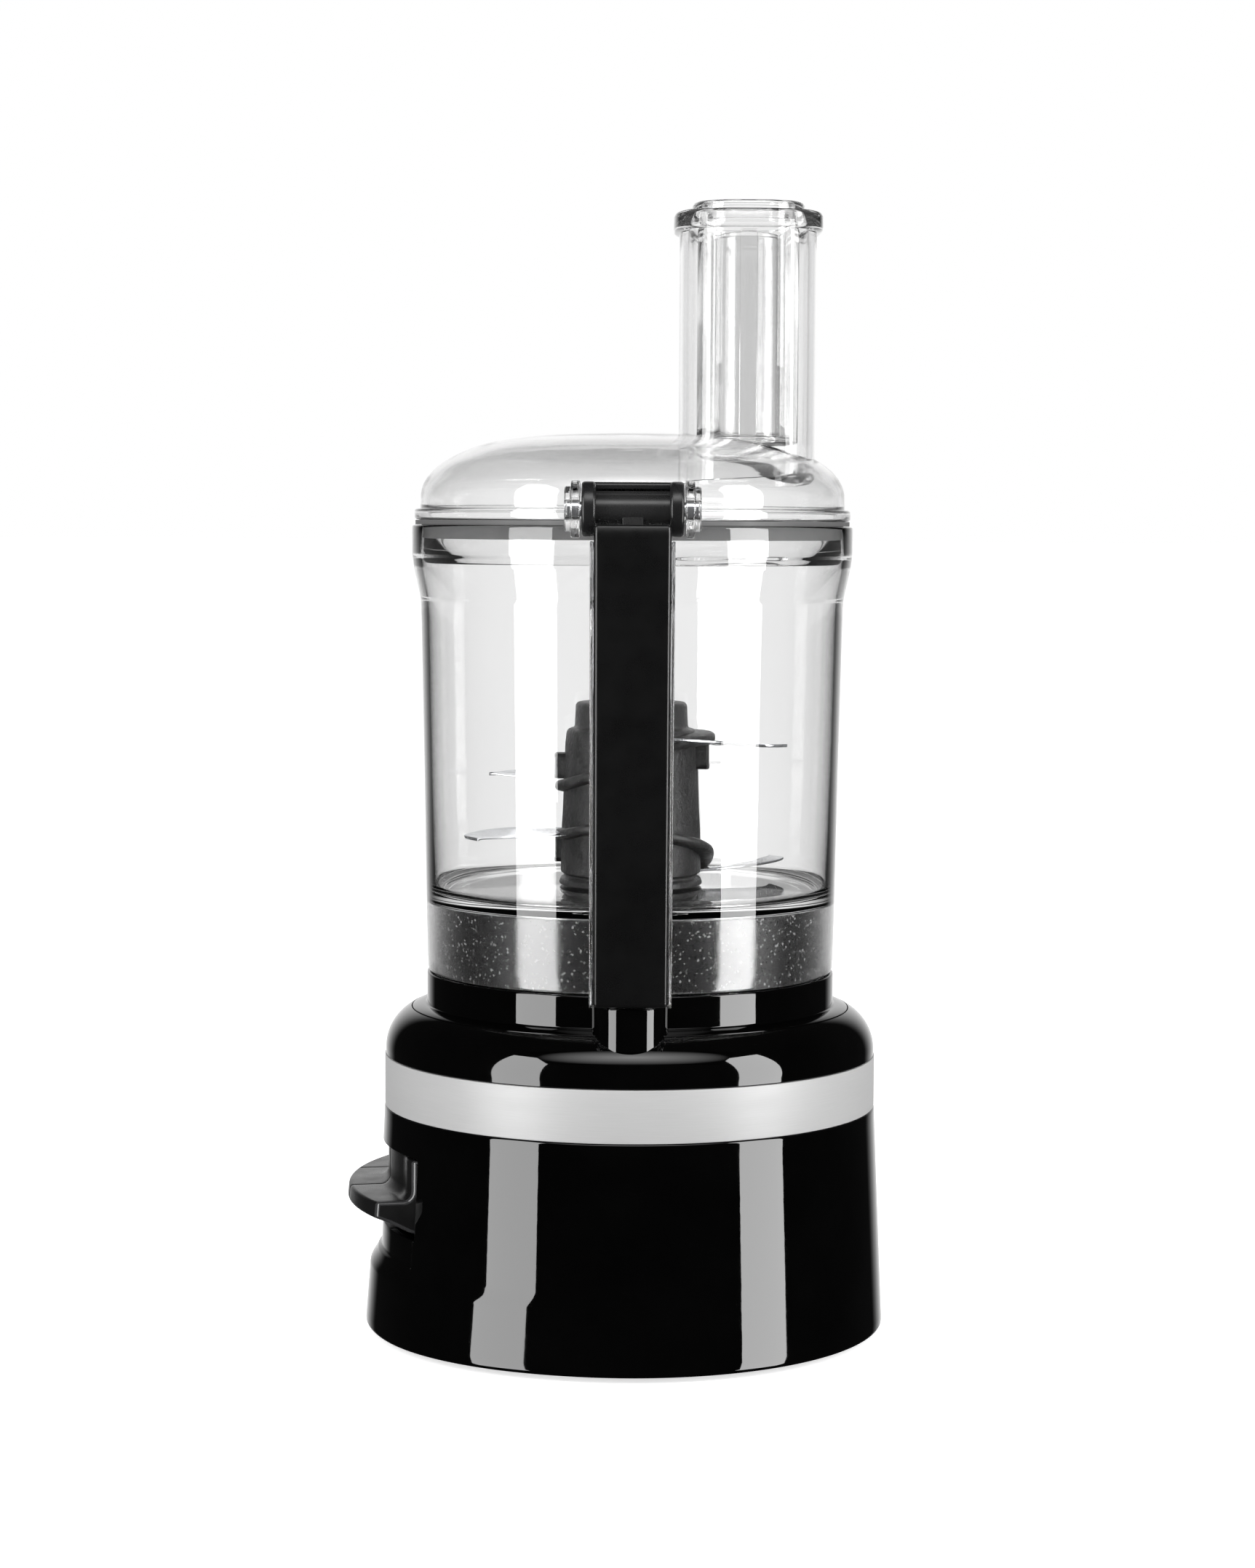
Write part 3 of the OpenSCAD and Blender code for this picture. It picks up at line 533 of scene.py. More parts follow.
def wall_r(phi, z):
    """Outer radius of the base wall at angle phi (0 at +X) and height z."""
    r = FOOT_R + (TOP_R - FOOT_R) * (z - 2) / (BAND_Z - 2)
    x = r * cos(phi)
    if sin(phi) < 0 and z < 75:
        side = ease((KEY_HALF + 0.4 - abs(x)) / 1.0)
        high = ease((WIN_TOP + 0.3 - z) / 0.9)
        low = ease((z - 29.8) / 1.4)
        r -= RELIEF * side * high * low
    # the foot flares out towards the keys
    psi = abs((math.degrees(phi) + 270) % 360 - 180)
    if z < FLARE_TOP:
        flare = FLARE * ease((82 - psi) / 55) * (1 - ease((z - FLARE_TOP + 6.5) / 6.5))
        r += flare * (1 + 0.25 * max(0.0, FLARE_TOP - 6.5 - z) / 22)
    if z < 2 + FOOT_ROUND:
        k = (2 + FOOT_ROUND - z) / FOOT_ROUND
        r -= FOOT_ROUND * (1 - sqrt(max(0.0, 1 - k * k)))
    return r


def base_columns():
    edge = math.degrees(asin(KEY_HALF / 88.8))
    marks = {-90 - edge, -90 + edge}
    deg = [-180 + 1.2 * i for i in range(300)]
    fine = [c + 0.2 * k for c in (-90 - edge, -90 + edge) for k in range(-18, 19)]
    keep = [d for d in deg if all(abs(d - c) > 3.9 for c in marks)]
    return sorted(keep + fine), edge


def base_body():
    cols, edge = base_columns()
    outer_z = [2.0, 2.1, 2.3, 2.6, 3.0, 3.6, 6, 10, 15, 19, 21.5] + [22.2 + 0.4 * i for i in range(26)]
    outer_z += [34, 36, 38, WIN_LOW] + [WIN_LOW + (WIN_TOP - WIN_LOW) * i / 12 for i in range(1, 12)]
    outer_z += [67.6, 68.2, 68.7, WIN_TOP, 69.5, 70.1, 71, 74, 78, 81.3, 81.7, 82.05, BAND_Z]
    outer_z = sorted(set(round(z, 3) for z in outer_z))
    seam = math.degrees(acos((SEAM_R - SHOULDER_C) / SHOULDER_R))
    line = [(87.9, BAND_Z), (87.9, BAND_TOP)]
    line += [(88.7, BAND_TOP), (89.0, BAND_TOP + 0.3)]
    line += arc(SHOULDER_C, SHOULDER_Z, SHOULDER_R, 0, seam, 26)
    line += [(SEAM_R - 0.12, 117.6), (SEAM_R - 0.12, 115.1), (77.0, 115.1)]
    line += arc(SHOULDER_C, SHOULDER_Z, SHOULDER_R - 3.4, 66, 0, 8)
    inner_z = sorted(set([2.0, 20.0, 38.0] + [z for z in outer_z if WIN_LOW <= z <= WIN_TOP]), reverse=True)
    verts, kinds = [], []
    for z in outer_z:
        kinds.append(("out", z))
        row = []
        for d in cols:
            r = wall_r(radians(d), z)
            if z > 81.2:
                k = (z - 81.2) / (BAND_Z - 81.2)
                r -= 0.5 * (1 - sqrt(max(0.0, 1 - k * k)))
            row.append((r * cos(radians(d)), r * sin(radians(d)), z))
        verts.append(row)
    for r, z in line:
        kinds.append(("top", z))
        verts.append([(r * cos(radians(d)), r * sin(radians(d)), z) for d in cols])
    for z in inner_z:
        kinds.append(("in", z))
        r = 89.5 + (84.6 - 89.5) * (z - 2) / 76
        verts.append([(r * cos(radians(d)), r * sin(radians(d)), z) for d in cols])
    n = len(cols)
    c0 = min(range(n), key=lambda j: abs(cols[j] + 90 + edge))
    c1 = min(range(n), key=lambda j: abs(cols[j] + 90 - edge))
    faces = []
    for i in range(len(verts)):
        k = (i + 1) % len(verts)
        (ka, za), (kb, zb) = kinds[i], kinds[k]
        for j in range(n):
            same = ka == kb and ka in ("out", "in")
            if same and c0 <= j < c1 and min(za, zb) >= WIN_LOW - 0.01 and max(za, zb) <= WIN_TOP + 0.01:
                continue
            j2 = (j + 1) % n
            faces.append((i * n + j, i * n + j2, k * n + j2, k * n + j))
    out_rows = {z: i for i, (k, z) in enumerate(kinds) if k == "out" and WIN_LOW <= z <= WIN_TOP}
    in_rows = {z: i for i, (k, z) in enumerate(kinds) if k == "in" and WIN_LOW <= z <= WIN_TOP}
    zs = sorted(out_rows)
    loop = [(zs[0], j) for j in range(c0, c1)] + [(z, c1) for z in zs[:-1]]
    loop += [(zs[-1], j) for j in range(c1, c0, -1)] + [(z, c0) for z in reversed(zs[1:])]
    for a, b in zip(loop, loop[1:] + loop[:1]):
        faces.append((out_rows[a[0]] * n + a[1], out_rows[b[0]] * n + b[1], in_rows[b[0]] * n + b[1],
            in_rows[a[0]] * n + a[1]))
    s = Shape().add([p for row in verts for p in row], faces)
    rim = {frozenset((out_rows[a[0]] * n + a[1], out_rows[b[0]] * n + b[1])) for a,
        b in zip(loop, loop[1:] + loop[:1])}
    ob = build("base_body", s, None, [gloss_black])
    bm = bmesh.new()
    bm.from_mesh(ob.data)
    bm.verts.ensure_lookup_table()
    rim_edges = [e for e in bm.edges if frozenset((e.verts[0].index, e.verts[1].index)) in rim]
    bmesh.ops.bevel(bm, geom=rim_edges, offset=0.45 * MM, segments=3, profile=0.5, affect="EDGES",
        clamp_overlap=True)
    bm.to_mesh(ob.data)
    bm.free()
    drill = Shape().prism([(7.1 * cos(radians(a)), 20 + 7.1 * sin(radians(a))) for a in range(0, 360, 9)], 75,
        100, 0)
    carve(ob, "drill", drill, gloss_black)
    finish_piece(ob, "base", ["base_housing"], 40)


base_body()


def dock_body():
    s = Shape()
    start = math.degrees(acos((SEAM_R - 0.4 - SHOULDER_C) / SHOULDER_R))
    top = arc(SHOULDER_C, SHOULDER_Z, SHOULDER_R, start, 82, 12)
    line = fillet([(79.3, 115.2), (*top[0], 0.35)] + top[1:-1]
        + [(*top[-1], 3.2), (74.0, 119.6, 3.2), (74.0, 131.0, 0.8), (9.0, 131.0, 0.5), (9.0, 126.5),
        (11.0, 126.5), (11.0, 115.2),
        (14.5, 115.2), (14.5, 128.0), (71.0, 128.0), (71.0, 119.0), (64.0, 119.0),
        (64.0, 115.2)], n=5)
    s.revolve(line, 288)
    # interlock post: a half-round column that stands on the shoulder against the collar
    post = [(73 + 13.2 * cos(radians(a)), 13.2 * sin(radians(a))) for a in range(-128, 129, 4)]
    post = [(max(x, 69.5), y) for x, y in post] + [(69.5, 9.0), (69.5, -9.0)]
    rows = []
    for z, d in ((113.5, 0), (116, 0), (120, 0), (124, 0), (127.5, 0), (128.1, 0.1), (128.5, 0.32),
        (128.7, 0.7)):
        row = []
        for x, y in post:
            k = 1 - d / 13.2
            row.append((73 + (x - 73) * k if x > 69.6 else x, y * k, z))
        rows.append(row)
    post_ob = build("post", Shape().rings(rows), None, [gloss_black])
    cutter = build("pocket", Shape().rings([[(77.4, -3.2, z), (84.0, -3.2, z), (84.0, 3.2, z),
        (77.4, 3.2, z)] for z in (121.0, 140.0)]), None, [gloss_black])
    under = Shape()
    ring = [(SHOULDER_C + (SHOULDER_R - 1.0) * cos(radians(a)),
        SHOULDER_Z + (SHOULDER_R - 1.0) * sin(radians(a))) for a in range(0, 360, 5)]
    under.revolve(ring, 96)
    boolean(post_ob, cutter, "DIFFERENCE")
    carve(post_ob, "under", under, gloss_black)
    base = build("dock", s, None, [gloss_black])
    boolean(base, post_ob, "UNION")
    finish_piece(base, "base", ["bowl_dock"], 30)


dock_body()

band = Shape().revolve(fillet([(TOP_R - 0.1, BAND_Z + 0.1, 0.35), (TOP_R - 0.1, BAND_TOP - 0.1, 0.35),
    (TOP_R - 1.4, BAND_TOP - 0.1), (TOP_R - 1.4, BAND_Z + 0.1)], n=4), 320)
build("trim_ring", band, "base", [band_metal], ["trim_band"])

# ---------------------------------------------------------------- keys

PITCH = 98.0 / 3


def key_piece(i, name, body, node):
    x0 = -49 + PITCH * i + (0.3 if i > 0 else 0)
    x1 = -49 + PITCH * (i + 1) - (0.3 if i < 2 else 0)
    s = Shape()

    def plate_at(x):
        # the near key stands proud at its near end
        out = 2.5 * ease((x - 36) / 10) if i == 2 else 0.0
        return -sqrt((88.0 + out) ** 2 - x * x)

    def nose_at(x):
        return -8 - sqrt(94.9**2 - x * x)

    # outline of plate and shelf: u is the depth behind the plate's face,
    # or the reach of the shelf when negative
    line = fillet([(0.0, 68.5, 1.2), (0.0, 54.3, 3.6), (-14.1, 53.8, 1.3), (-14.6, 48.2, 1.4),
        (-9.0, 46.4, 5.0),
        (-1.0, 43.0, 1.5), (2.3, 42.3, 0.3), (2.3, 68.5, 0.2)], n=6)
    count = len(line)
    inward = []
    for k in range(count):
        p, q, t = (Vector(line[m % count]) for m in (k - 1, k, k + 1))
        m = (q - p).normalized() + (t - q).normalized()
        inward.append(Vector((-m.y, m.x)).normalized())

    def place(x, u, v):
        p = plate_at(x)
        return (x, p + u, v) if u >= 0 else (x, p + (nose_at(x) - p) * (-u / 14.6), v)

    ends = (0.45 if i > 0 else 0.9, 1.15 if i == 2 else 0.45)
    steps = [(x0 + ends[0] * (1 - cos(radians(18 * k))), ends[0] * (1 - sin(radians(18 * k))))
        for k in range(6)]
    steps += [(x0 + ends[0] + (x1 - x0 - ends[0] - ends[1]) * k / 12, 0.0) for k in range(1, 12)]
    steps += [(x1 - ends[1] * (1 - cos(radians(18 * k))), ends[1] * (1 - sin(radians(18 * k))))
        for k in range(5, -1, -1)]
    rows = []
    for x, d in steps:
        rows.append([place(x, u + n.x * d * (1.0 if u < 1 else 0.3), v + n.y * d) for (u, v),
            n in zip(line, inward)])
    s.rings(rows)
    if i == 2:
        # the rim of the near end is polished, and its lighter colour is a painted highlight along that edge
        s.m = [int(k // count >= len(rows) - 6 and k < (len(rows) - 1) * count) for k in range(len(s.f))]
    for x in (x0 + 4, x1 - 7):
        ear = fillet([(-76.0, 61.4), (-66.0, 61.2, 2.4), (-63.7, 61.6, 1.5), (-63.7, 66.6, 1.5),
            (-67.0, 66.9, 2.4), (-76.0, 66.8)], n=3)
        s.prism(ear, x, x + 3, 0.3, 2, turn=lambda px, py, pz: (py, px, pz))
    build(name, s, body, [key_black, key_rim_painted_highlight] if i == 2 else [key_black], [node], 38)


key_piece(2, "key_near", "pulse_paddle", "pulse_key")
key_piece(1, "key_middle", "low_paddle", "low_key")
key_piece(0, "key_far", "high_paddle", "high_key")

# ---------------------------------------------------------------- bowl

bowl_line = [(73.45, 131.5, 0.8), (73.8, 136, 4), (74.2, 152, 30), (75.1, 205, 60), (76.2, 258, 30),
    (76.5, 266, 7), (79.0, 277.6, 5), (79.6, 282, 4), (79.6, 292.5, 0.9),
    (76.8, 292.5, 0.9), (76.6, 281, 4), (73.9, 267, 7), (73.6, 258, 20), (72.5, 205, 40),
    (71.7, 160, 4.0), (13.2, 160, 1.5), (13.2, 205, 0.8),
    (10.6, 205, 0.8), (10.6, 157.4, 1.5), (71.5, 157.4, 1.0), (71.0, 131.5, 0.8)]
build("bowl_clear", Shape().revolve(fillet(bowl_line, n=6), 256), "work_bowl", [clear_bowl],
    ["bowl"], 60)

skirt_line = [(70.6, 131.5, 0.8), (70.6, 157.0, 1.4), (10.7, 157.0, 0.5), (10.7, 155.2, 0.4),
    (68.5, 155.2, 1.0), (68.5, 131.5, 0.6)]
build("bowl_ring", Shape().revolve(fillet(skirt_line, n=5), 224), "work_bowl", [skirt_grey],
    ["bowl_skirt"], 40)

# ---------------------------------------------------------------- handle

FOOT_Z, TOP_Z, FOOT_X, TOP_X = 129.0, 293.0, 90.0, 127.0
LEAN = (TOP_X - FOOT_X) / (TOP_Z - FOOT_Z)


def front(z):
    return FOOT_X + LEAN * (z - FOOT_Z)


def handle_cover():
    lip = 122.0
    line = [(front(129) - 3.7, 129.1, 0.4), (front(129) - 0.6, 129.1, 2.0), (front(270), 270, 60),
        (front(283) - 0.3, 283, 20), (front(290) - 1.1, 290, 10),
        (front(293) - 2.6, 292.9, 1.2), (lip, 292.9, 0.4), (lip, 287.8, 0.3),
        (front(287.7) - 3.7, 287.8, 0.4)]
    # closely spaced points along the long face keep its shading even
    pts = fillet(line, n=6)
    s = Shape().prism(pts, -12.7, 12.7, 1.5, 6)
    build("grip_cover", s, "work_bowl", [handle_black], ["handle_cover"], 50)


def handle_frame():
    body = Shape()
    back, inner = 12.9, 4.1
    grip = fillet([(front(129.2) - back, 129.2, 2.0), (front(129.2) - inner, 129.2, 0.3),
        (front(287.5) - inner, 287.5, 0.3), (front(287.5) - back, 287.5, 0.5)], n=5)
    body.prism(grip, -13.9, 13.9, 2.2, 5)
    solid = build("grip_frame", body, None, [rail_grey])
    for y0, y1 in ((-14.0, -12.95), (12.95, 14.0)):
        rail = Shape().prism([(front(129.2) - 7, 129.2), (front(129.2) - 0.7, 129.2),
            (front(287.5) - 0.7, 287.5), (front(287.5) - 7, 287.5)], y0, y1, 0.35, 3)
        join(solid, "rail", rail, rail_grey)
    arm = Shape().prism(fillet([(77, 271.5, 1), (front(262) - 13, 270, 6), (front(256) - 12.6, 256, 2),
        (front(262) - 8, 262), (front(287.4) - 6, 287.4, 1), (77, 287.4, 1)], n=6), -13.6, 13.6, 1.2, 4)
    join(solid, "arm", arm, rail_grey)
    foot = Shape().prism(fillet([(71, 129.3, 1), (front(129.3) - 6, 129.3, 1), (front(154) - 6, 154, 1),
        (front(158) - 12.6, 158, 3), (front(150) - 14.4, 149.6, 5), (71, 145.5, 1)], n=6), -11.9, 11.9, 1.2,
        4)
    join(solid, "foot", foot, rail_grey)
    rim = Shape().revolve([(0, 262), (79.85, 262), (79.85, 300), (0, 300)], 256)
    carve(solid, "rim", rim, rail_grey)
    wall = Shape().revolve([(0, 120), (74.5, 120), (74.6, 160), (0, 160)], 256)
    carve(solid, "wall", wall, rail_grey)
    tilt = atan(LEAN)
    bore = Shape()
    rows = []
    for t, r in ((-12.0, 2.3), (23.5, 2.3), (23.6, 4.7), (46.3, 4.7), (46.4, 2.3), (185.0, 2.3)):
        z = 129 + t * cos(tilt)
        x = front(129) - 8.5 + t * sin(tilt)
        rows.append([(x + r * cos(radians(a)) * cos(tilt), r * sin(radians(a)),
            z - r * cos(radians(a)) * sin(tilt)) for a in range(0, 360, 12)])
    bore.rings(rows)
    carve(solid, "bore", bore, rail_grey)
    finish_piece(solid, "work_bowl", ["handle_frame"], 40)


handle_cover()
handle_frame()

# ---------------------------------------------------------------- lid

TUBE_X, TUBE_Y = -1.0, 41.0
LATCH_X, LATCH_Z = 112, 298


def oval(half_d, half_w, n=160, power=0.62):
    out = []
    for i in range(n):
        a = 2 * pi * i / n
        c, s = cos(a), sin(a)
        out.append((TUBE_X + half_d * math.copysign(abs(c) ** power, c),
            TUBE_Y + half_w * math.copysign(abs(s) ** power, s)))
    return out


def oval_rows(levels, half_d, half_w, n=160):
    """levels are (z, how far in)."""
    return [[(x, y, z) for x, y in oval(half_d - d, half_w - d, n)] for z, d in levels]


def lug(side):
    y0, y1 = (17.3, 20.4) if side > 0 else (-20.4, -17.3)
    outline = [(73.6, 296.3), (84, 296.2)] + arc(LATCH_X, LATCH_Z, 9.5, -112, 96, 30) + [(98, 306.4), (84,
        305.7),
        (73.6, 305.4)]
    s = Shape().prism(outline, y0, y1, 0.7, 3)
    ob = build("lug", s, None, [clear_lid])
    b0, b1 = (20.2, 22.5) if side > 0 else (-22.5, -20.2)
    boss = Shape().prism(arc(LATCH_X, LATCH_Z, 7.5, 0, 351, 39), b0, b1, 0.6, 3)
    return join(ob, "boss", boss, clear_lid)


def lid():
    outer = smooth_line([(76.6, 300.0), (76.1, 305.7), (73.2, 310.9), (66.6, 316.2), (54.7, 321.4),
        (39.1, 324.1), (21, 325.4), (0, 325.8)], 7)
    inner = smooth_line([(74.0, 300.0), (73.5, 305.0), (70.9, 309.3), (65.2, 313.9), (54.1, 318.8),
        (39.1, 321.5), (21, 322.8), (0, 323.2)], 7)
    outer[-1] = (0.0, 325.8)
    inner[-1] = (0.0, 323.2)
    line = fillet([(75.6, 294.5, 0.4), (78.7, 294.5, 0.8), (78.7, 298.3, 1.0), (76.6, 298.4, 0.5),
        (76.6, 300.0)], closed=False, n=4)[1:-1]
    profile = [(75.6, 279.6), (75.6, 294.1)] + line + outer + inner[::-1] + [(74.0, 279.6), (74.4, 279.0),
        (75.2, 279.0)]
    solid = build("lid_clear", Shape().revolve(profile, 256), None, [clear_lid])
    levels = [(311.5, 0), (318, 0), (330, 0), (360, 0), (390, 0), (396.6, 0), (397.3, -0.35), (397.6, -1.3),
        (398.1, -1.95), (399.2, -2.2), (402.6, -2.2), (403.6, -1.8), (404.0, -1.0),
        (404.0, 0.9), (403.6, 1.9), (402.6, 2.5), (390, 2.5), (360, 2.5), (330, 2.5), (311.5, 2.5)]
    tube = Shape().rings(oval_rows(levels, 30.5, 24.5), closed_rows=True)
    join(solid, "tube", tube, clear_lid)
    hole = Shape().rings(oval_rows([(285, 0), (340, 0)], 28.0, 22.0))
    carve(solid, "hole", hole, clear_lid)
    for side in (-1, 1):
        boolean(solid, lug(side), "UNION")
    pin = Shape().prism(arc(LATCH_X, LATCH_Z, 2.55, 0, 348, 29), -30, 30, 0)
    carve(solid, "pin_hole", pin, clear_lid)
    finish_piece(solid, "lid_group", ["lid"], 42)


lid()


def latch():
    s = Shape()
    for y0, y1 in ((12.2, 16.9), (-16.9, -12.2)):
        cheek = arc(LATCH_X, LATCH_Z, 9.1, -160, 100,
            36) + fillet([(104.0, 307.0, 1.5), (100.2, 307.0, 1.2), (100.2, 303.6, 1.2), (103.8, 303.0)],
            closed=False, n=4)
        s.prism(cheek, y0, y1, 1.1, 4)
    s.prism(arc(LATCH_X, LATCH_Z, 5.2, 0, 350, 35), -12.6, 12.6, 0)
    s.prism(fillet([(100.2, 303.5, 1.0), (112, 303.5, 0.4), (112, 306.9, 1.3), (100.2, 306.9, 1.4)], n=5),
        -16.7, 16.7, 0.9, 4)
    s.prism(fillet([(108.2, 299.0, 0.5), (112, 299.0), (112, 305, 0.3), (108.2, 305, 0.3)], n=3), -12.5, 12.5,
        0)
    cam = [(LATCH_X, LATCH_Z - 2)] + arc(LATCH_X, LATCH_Z, 8.4, -75, -52, 1) + [(LATCH_X + 4, LATCH_Z)]
    s.prism(cam, -3.4, 3.4, 0.3, 2)
    ob = build("latch_grip", s, None, [latch_black])
    finish_piece(ob, "latch", ["latch_lever"], 35)


latch()

# ---------------------------------------------------------------- pushers


def large_pusher():
    d, w = 25.2, 19.2
    levels = [(322.0, 0.8), (322.25, 0.25), (322.8, 0), (340, 0), (370, 0), (403.6, 0), (404.3, -0.4),
        (404.6, -0.8), (406.6, -0.9), (407.3, -0.5), (407.5, 0.1), (407.5, 1.1), (407.1, 1.7), (406.0, 1.8),
        (370, 1.8), (325.4, 1.8), (324.3, 2.3), (324.0, 3.2)]
    solid = build("pusher_outer", Shape().rings(oval_rows(levels, d, w)), None, [clear_tube])
    well = Shape().revolve(fillet([(14.2, 322.1), (15.8, 322.1), (15.8, 396.8, 0.5), (14.2, 396.8, 0.5)],
        n=3), 96, at=(TUBE_X, TUBE_Y))
    join(solid, "well", well, clear_tube)
    core = Shape().revolve([(0, 315), (14.2, 315), (14.2, 352), (0, 352)], 96, at=(TUBE_X, TUBE_Y))
    carve(solid, "core", core, clear_tube)
    finish_piece(solid, "outer_pusher", ["large_pusher"], 45)


def small_pusher():
    line = fillet([(0, 322.05), (13.4, 322.05, 1.0), (13.4, 399, 0.6), (11.6, 399, 0.6), (11.6, 324, 2.0),
        (0, 324)], closed=False, n=5)
    line[0], line[-1] = (0.0, 322.05), (0.0, 324.0)
    solid = build("pusher_inner", Shape().revolve(line, 112, at=(TUBE_X, TUBE_Y)), None, [clear_tube])
    rib = Shape().prism(fillet([(8.2 + 0.4, 323.2, 0.3), (12.2 - 0.4, 323.2), (12.2 - 0.4, 401.0, 0.8),
        (8.2, 401.0, 0.8)], n=3), TUBE_Y - 2.9, TUBE_Y + 2.9, 0.5, 3)
    join(solid, "rib", rib, clear_tube)
    finish_piece(solid, "inner_pusher", ["small_pusher"], 45)


large_pusher()
small_pusher()

# ---------------------------------------------------------------- hub and blades

SEATS = [(216.5, 37.0), (200.0, -143.0), (181.2, -68.0), (165.4, 112.0)]

UPPER_CREST = [(-152, 199.4, 25.0), (-143, 199.2, 27.6), (-90, 198.6, 27.9), (-45, 202.2, 27.4),
    (0, 209.0, 26.8),
    (24, 214.0, 28.6), (40, 215.6, 30.4), (85, 216.9, 30.6), (104, 217.2, 28.0),
    (112, 217.2, 25.0)]
LOWER_CREST = [(-104, 180.0, 24.8), (-92, 180.4, 27.9), (-66, 181.2, 28.4), (-30, 184.0, 27.4),
    (4, 184.0, 27.4),
    (34, 181.0, 29.2), (62, 177.6, 30.3), (90, 172.4, 30.4), (112, 166.6, 29.8),
    (130, 164.4, 27.4), (138, 164.0, 25.0)]
CLIPS = [(84, 205.0, 214.8, 28.2), (-96, 201.0, 209.8, 27.8), (-98, 169.0, 179.4, 27.6)]


def bar(shape, a, outline, heights):
    """An upright bar with this outline, turned by the angle a about the drive axis."""
    shape.rings([[(u * cos(a) - v * sin(a), u * sin(a) + v * cos(a), q) for u, v in outline]
        for q in heights])


def hub():
    line = fillet([(14.2, 160.8), (26.3, 160.8, 0.5), (25.6, 162.9, 0.8), (24.3, 163.8, 0.5),
        (24.3, 164.6, 0.4), (25.6, 165.4, 0.9), (25.3, 181, 8),
        (24.8, 190, 8), (24.0, 214, 2.5), (23.4, 219.0, 2.0), (20.6, 219.6, 1.2),
        (20.2, 228.9, 1.6),
        (0, 228.9), (0, 223.3), (7.9, 223.3), (7.9, 206.9), (14.2, 206.9)], n=5)
    s = Shape()
    s.revolve(line, 144)
    # two crests wind round the hub and carry the blades: (azimuth, height, radius)
    for path in (UPPER_CREST, LOWER_CREST):
        heights = smooth_line([(a, z) for a, z, r in path], 12)
        radii = smooth_line([(a, r) for a, z, r in path], 12)
        rows = []
        for (deg, z), (_, r) in zip(heights, radii):
            a = radians(deg)
            pts = [(23.2, z - 3.2), (r - 1.4, z - 2.4), (r - 0.6, z - 2.0), (r - 0.15, z - 1.4), (r, z - 0.6),
                (r - 0.1, z + 0.3),
                (r - 0.45, z + 0.9), (r - 1.2, z + 1.3), (23.2, z + 1.5)]
            rows.append([(p * cos(a), p * sin(a), q) for p, q in pts])
        s.rings(rows)
    # clips beside the roots
    for deg, low, high, reach in CLIPS:
        a = radians(deg)
        for part in (-1, 1):
            stub = [(22.0, part * 2.6 - 1.2), (reach - 0.6, part * 2.6 - 1.2), (reach, part * 2.6),
                (reach - 0.6, part * 2.6 + 1.2), (22.0, part * 2.6 + 1.2)]
            bar(s, a, stub, (low, (low + high) / 2, high))
        foot = [(22.0, -3.8), (reach - 0.3, -3.8), (reach + 0.1, -3.2), (reach + 0.1, 3.2),
            (reach - 0.3, 3.8), (22.0, 3.8)]
        for z0 in (low - 0.2, high - 1.4):
            bar(s, a, foot, (z0, z0 + 0.8, z0 + 1.6))
    build("hub_body", s, "blade_group", [hub_grey], ["blade_hub"], 40)


def blade_shape(shape, z, turn):
    """A curved blade: thin ground edge on its hollow side, thick back on its outer side."""
    back = [(18, -9)] + arc(30, 34, 44.5, -90, -34, 16)
    front_line = [(18, 7)] + arc(26, 66, 60.5, -90, -56, 16)
    tip = (67.6 * cos(radians(16)), 67.6 * sin(radians(16)))
    rows = []
    n = 24
    a = radians(turn)

    def along(line, t):
        d = [0.0]
        for p, q in zip(line, line[1:]):
            d.append(d[-1] + (Vector(q) - Vector(p)).length)
        want = t * d[-1]
        for k in range(len(line) - 1):
            if d[k + 1] >= want - 1e-9:
                f = (want - d[k]) / max(d[k + 1] - d[k], 1e-9)
                return Vector(line[k]).lerp(Vector(line[k + 1]), f)
        return Vector(line[-1])

    for k in range(n + 1):
        t = k / n
        p = along(back + [tip], t)
        q = along(front_line + [tip], t)
        if k == n:
            q = p + Vector((-0.3, 0.25))
        grind = min(0.4, 2.4 / max((q - p).length, 0.5)) if t > 0.22 else 0.05
        m = q.lerp(p, grind)
        drop = (-0.0005 if z > 190 else 0.0005) * max(0.0, p.length - 30) ** 2
        thick = 0.55
        edge = 0.08
        pts = [(p, thick), (m, thick), (q, edge), (q, -edge), (m, -thick), (p, -thick)]
        pts = [(p.lerp(m, 0.02), thick)] + pts[1:5] + [(p.lerp(m, 0.02), -thick), (p, -thick * 0.5),
            (p, thick * 0.5)]
        bow = 1 - (2 * t - 1) ** 2
        mid = (p + q) / 2
        cross = (q - p).normalized() if (q - p).length > 0.5 else Vector((0, 1))
        rows.append([(u.x * cos(a) - u.y * sin(a), u.x * sin(a) + u.y * cos(a),
            z + h + drop - 0.13 * bow * (u - mid).dot(cross)) for u, h in pts])
    start = len(shape.f)
    shape.rings(rows)
    per = 8
    for i in range(n):
        for j in range(per):
            if j in (1, 2, 3):
                shape.m[start + i * per + j] = 1


def blades(name, node, seats):
    s = Shape()
    for z, turn in seats:
        blade_shape(s, z, turn)
    build(name, s, "blade_group", [blade_metal, edge_metal], [node], 25)


hub()
blades("blades_upper", "upper_blades", SEATS[:2])
blades("blades_lower", "lower_blades", SEATS[2:])

# ---------------------------------------------------------------- floor, light, camera


def emitter(name, strength):
    m = bpy.data.materials.new(name)
    m.use_nodes = True
    t = m.node_tree
    t.nodes.clear()
    e = t.nodes.new("ShaderNodeEmission")
    e.inputs["Strength"].default_value = strength
    o = t.nodes.new("ShaderNodeOutputMaterial")
    t.links.new(e.outputs[0], o.inputs["Surface"])
    return m


def lamp(name, mesh):
    """Puts a glowing sheet in the scene, unseen by the camera."""
    ob = bpy.data.objects.new(name, mesh)
    SCENE.collection.objects.link(ob)
    ob.visible_camera = False
    ob.visible_shadow = False


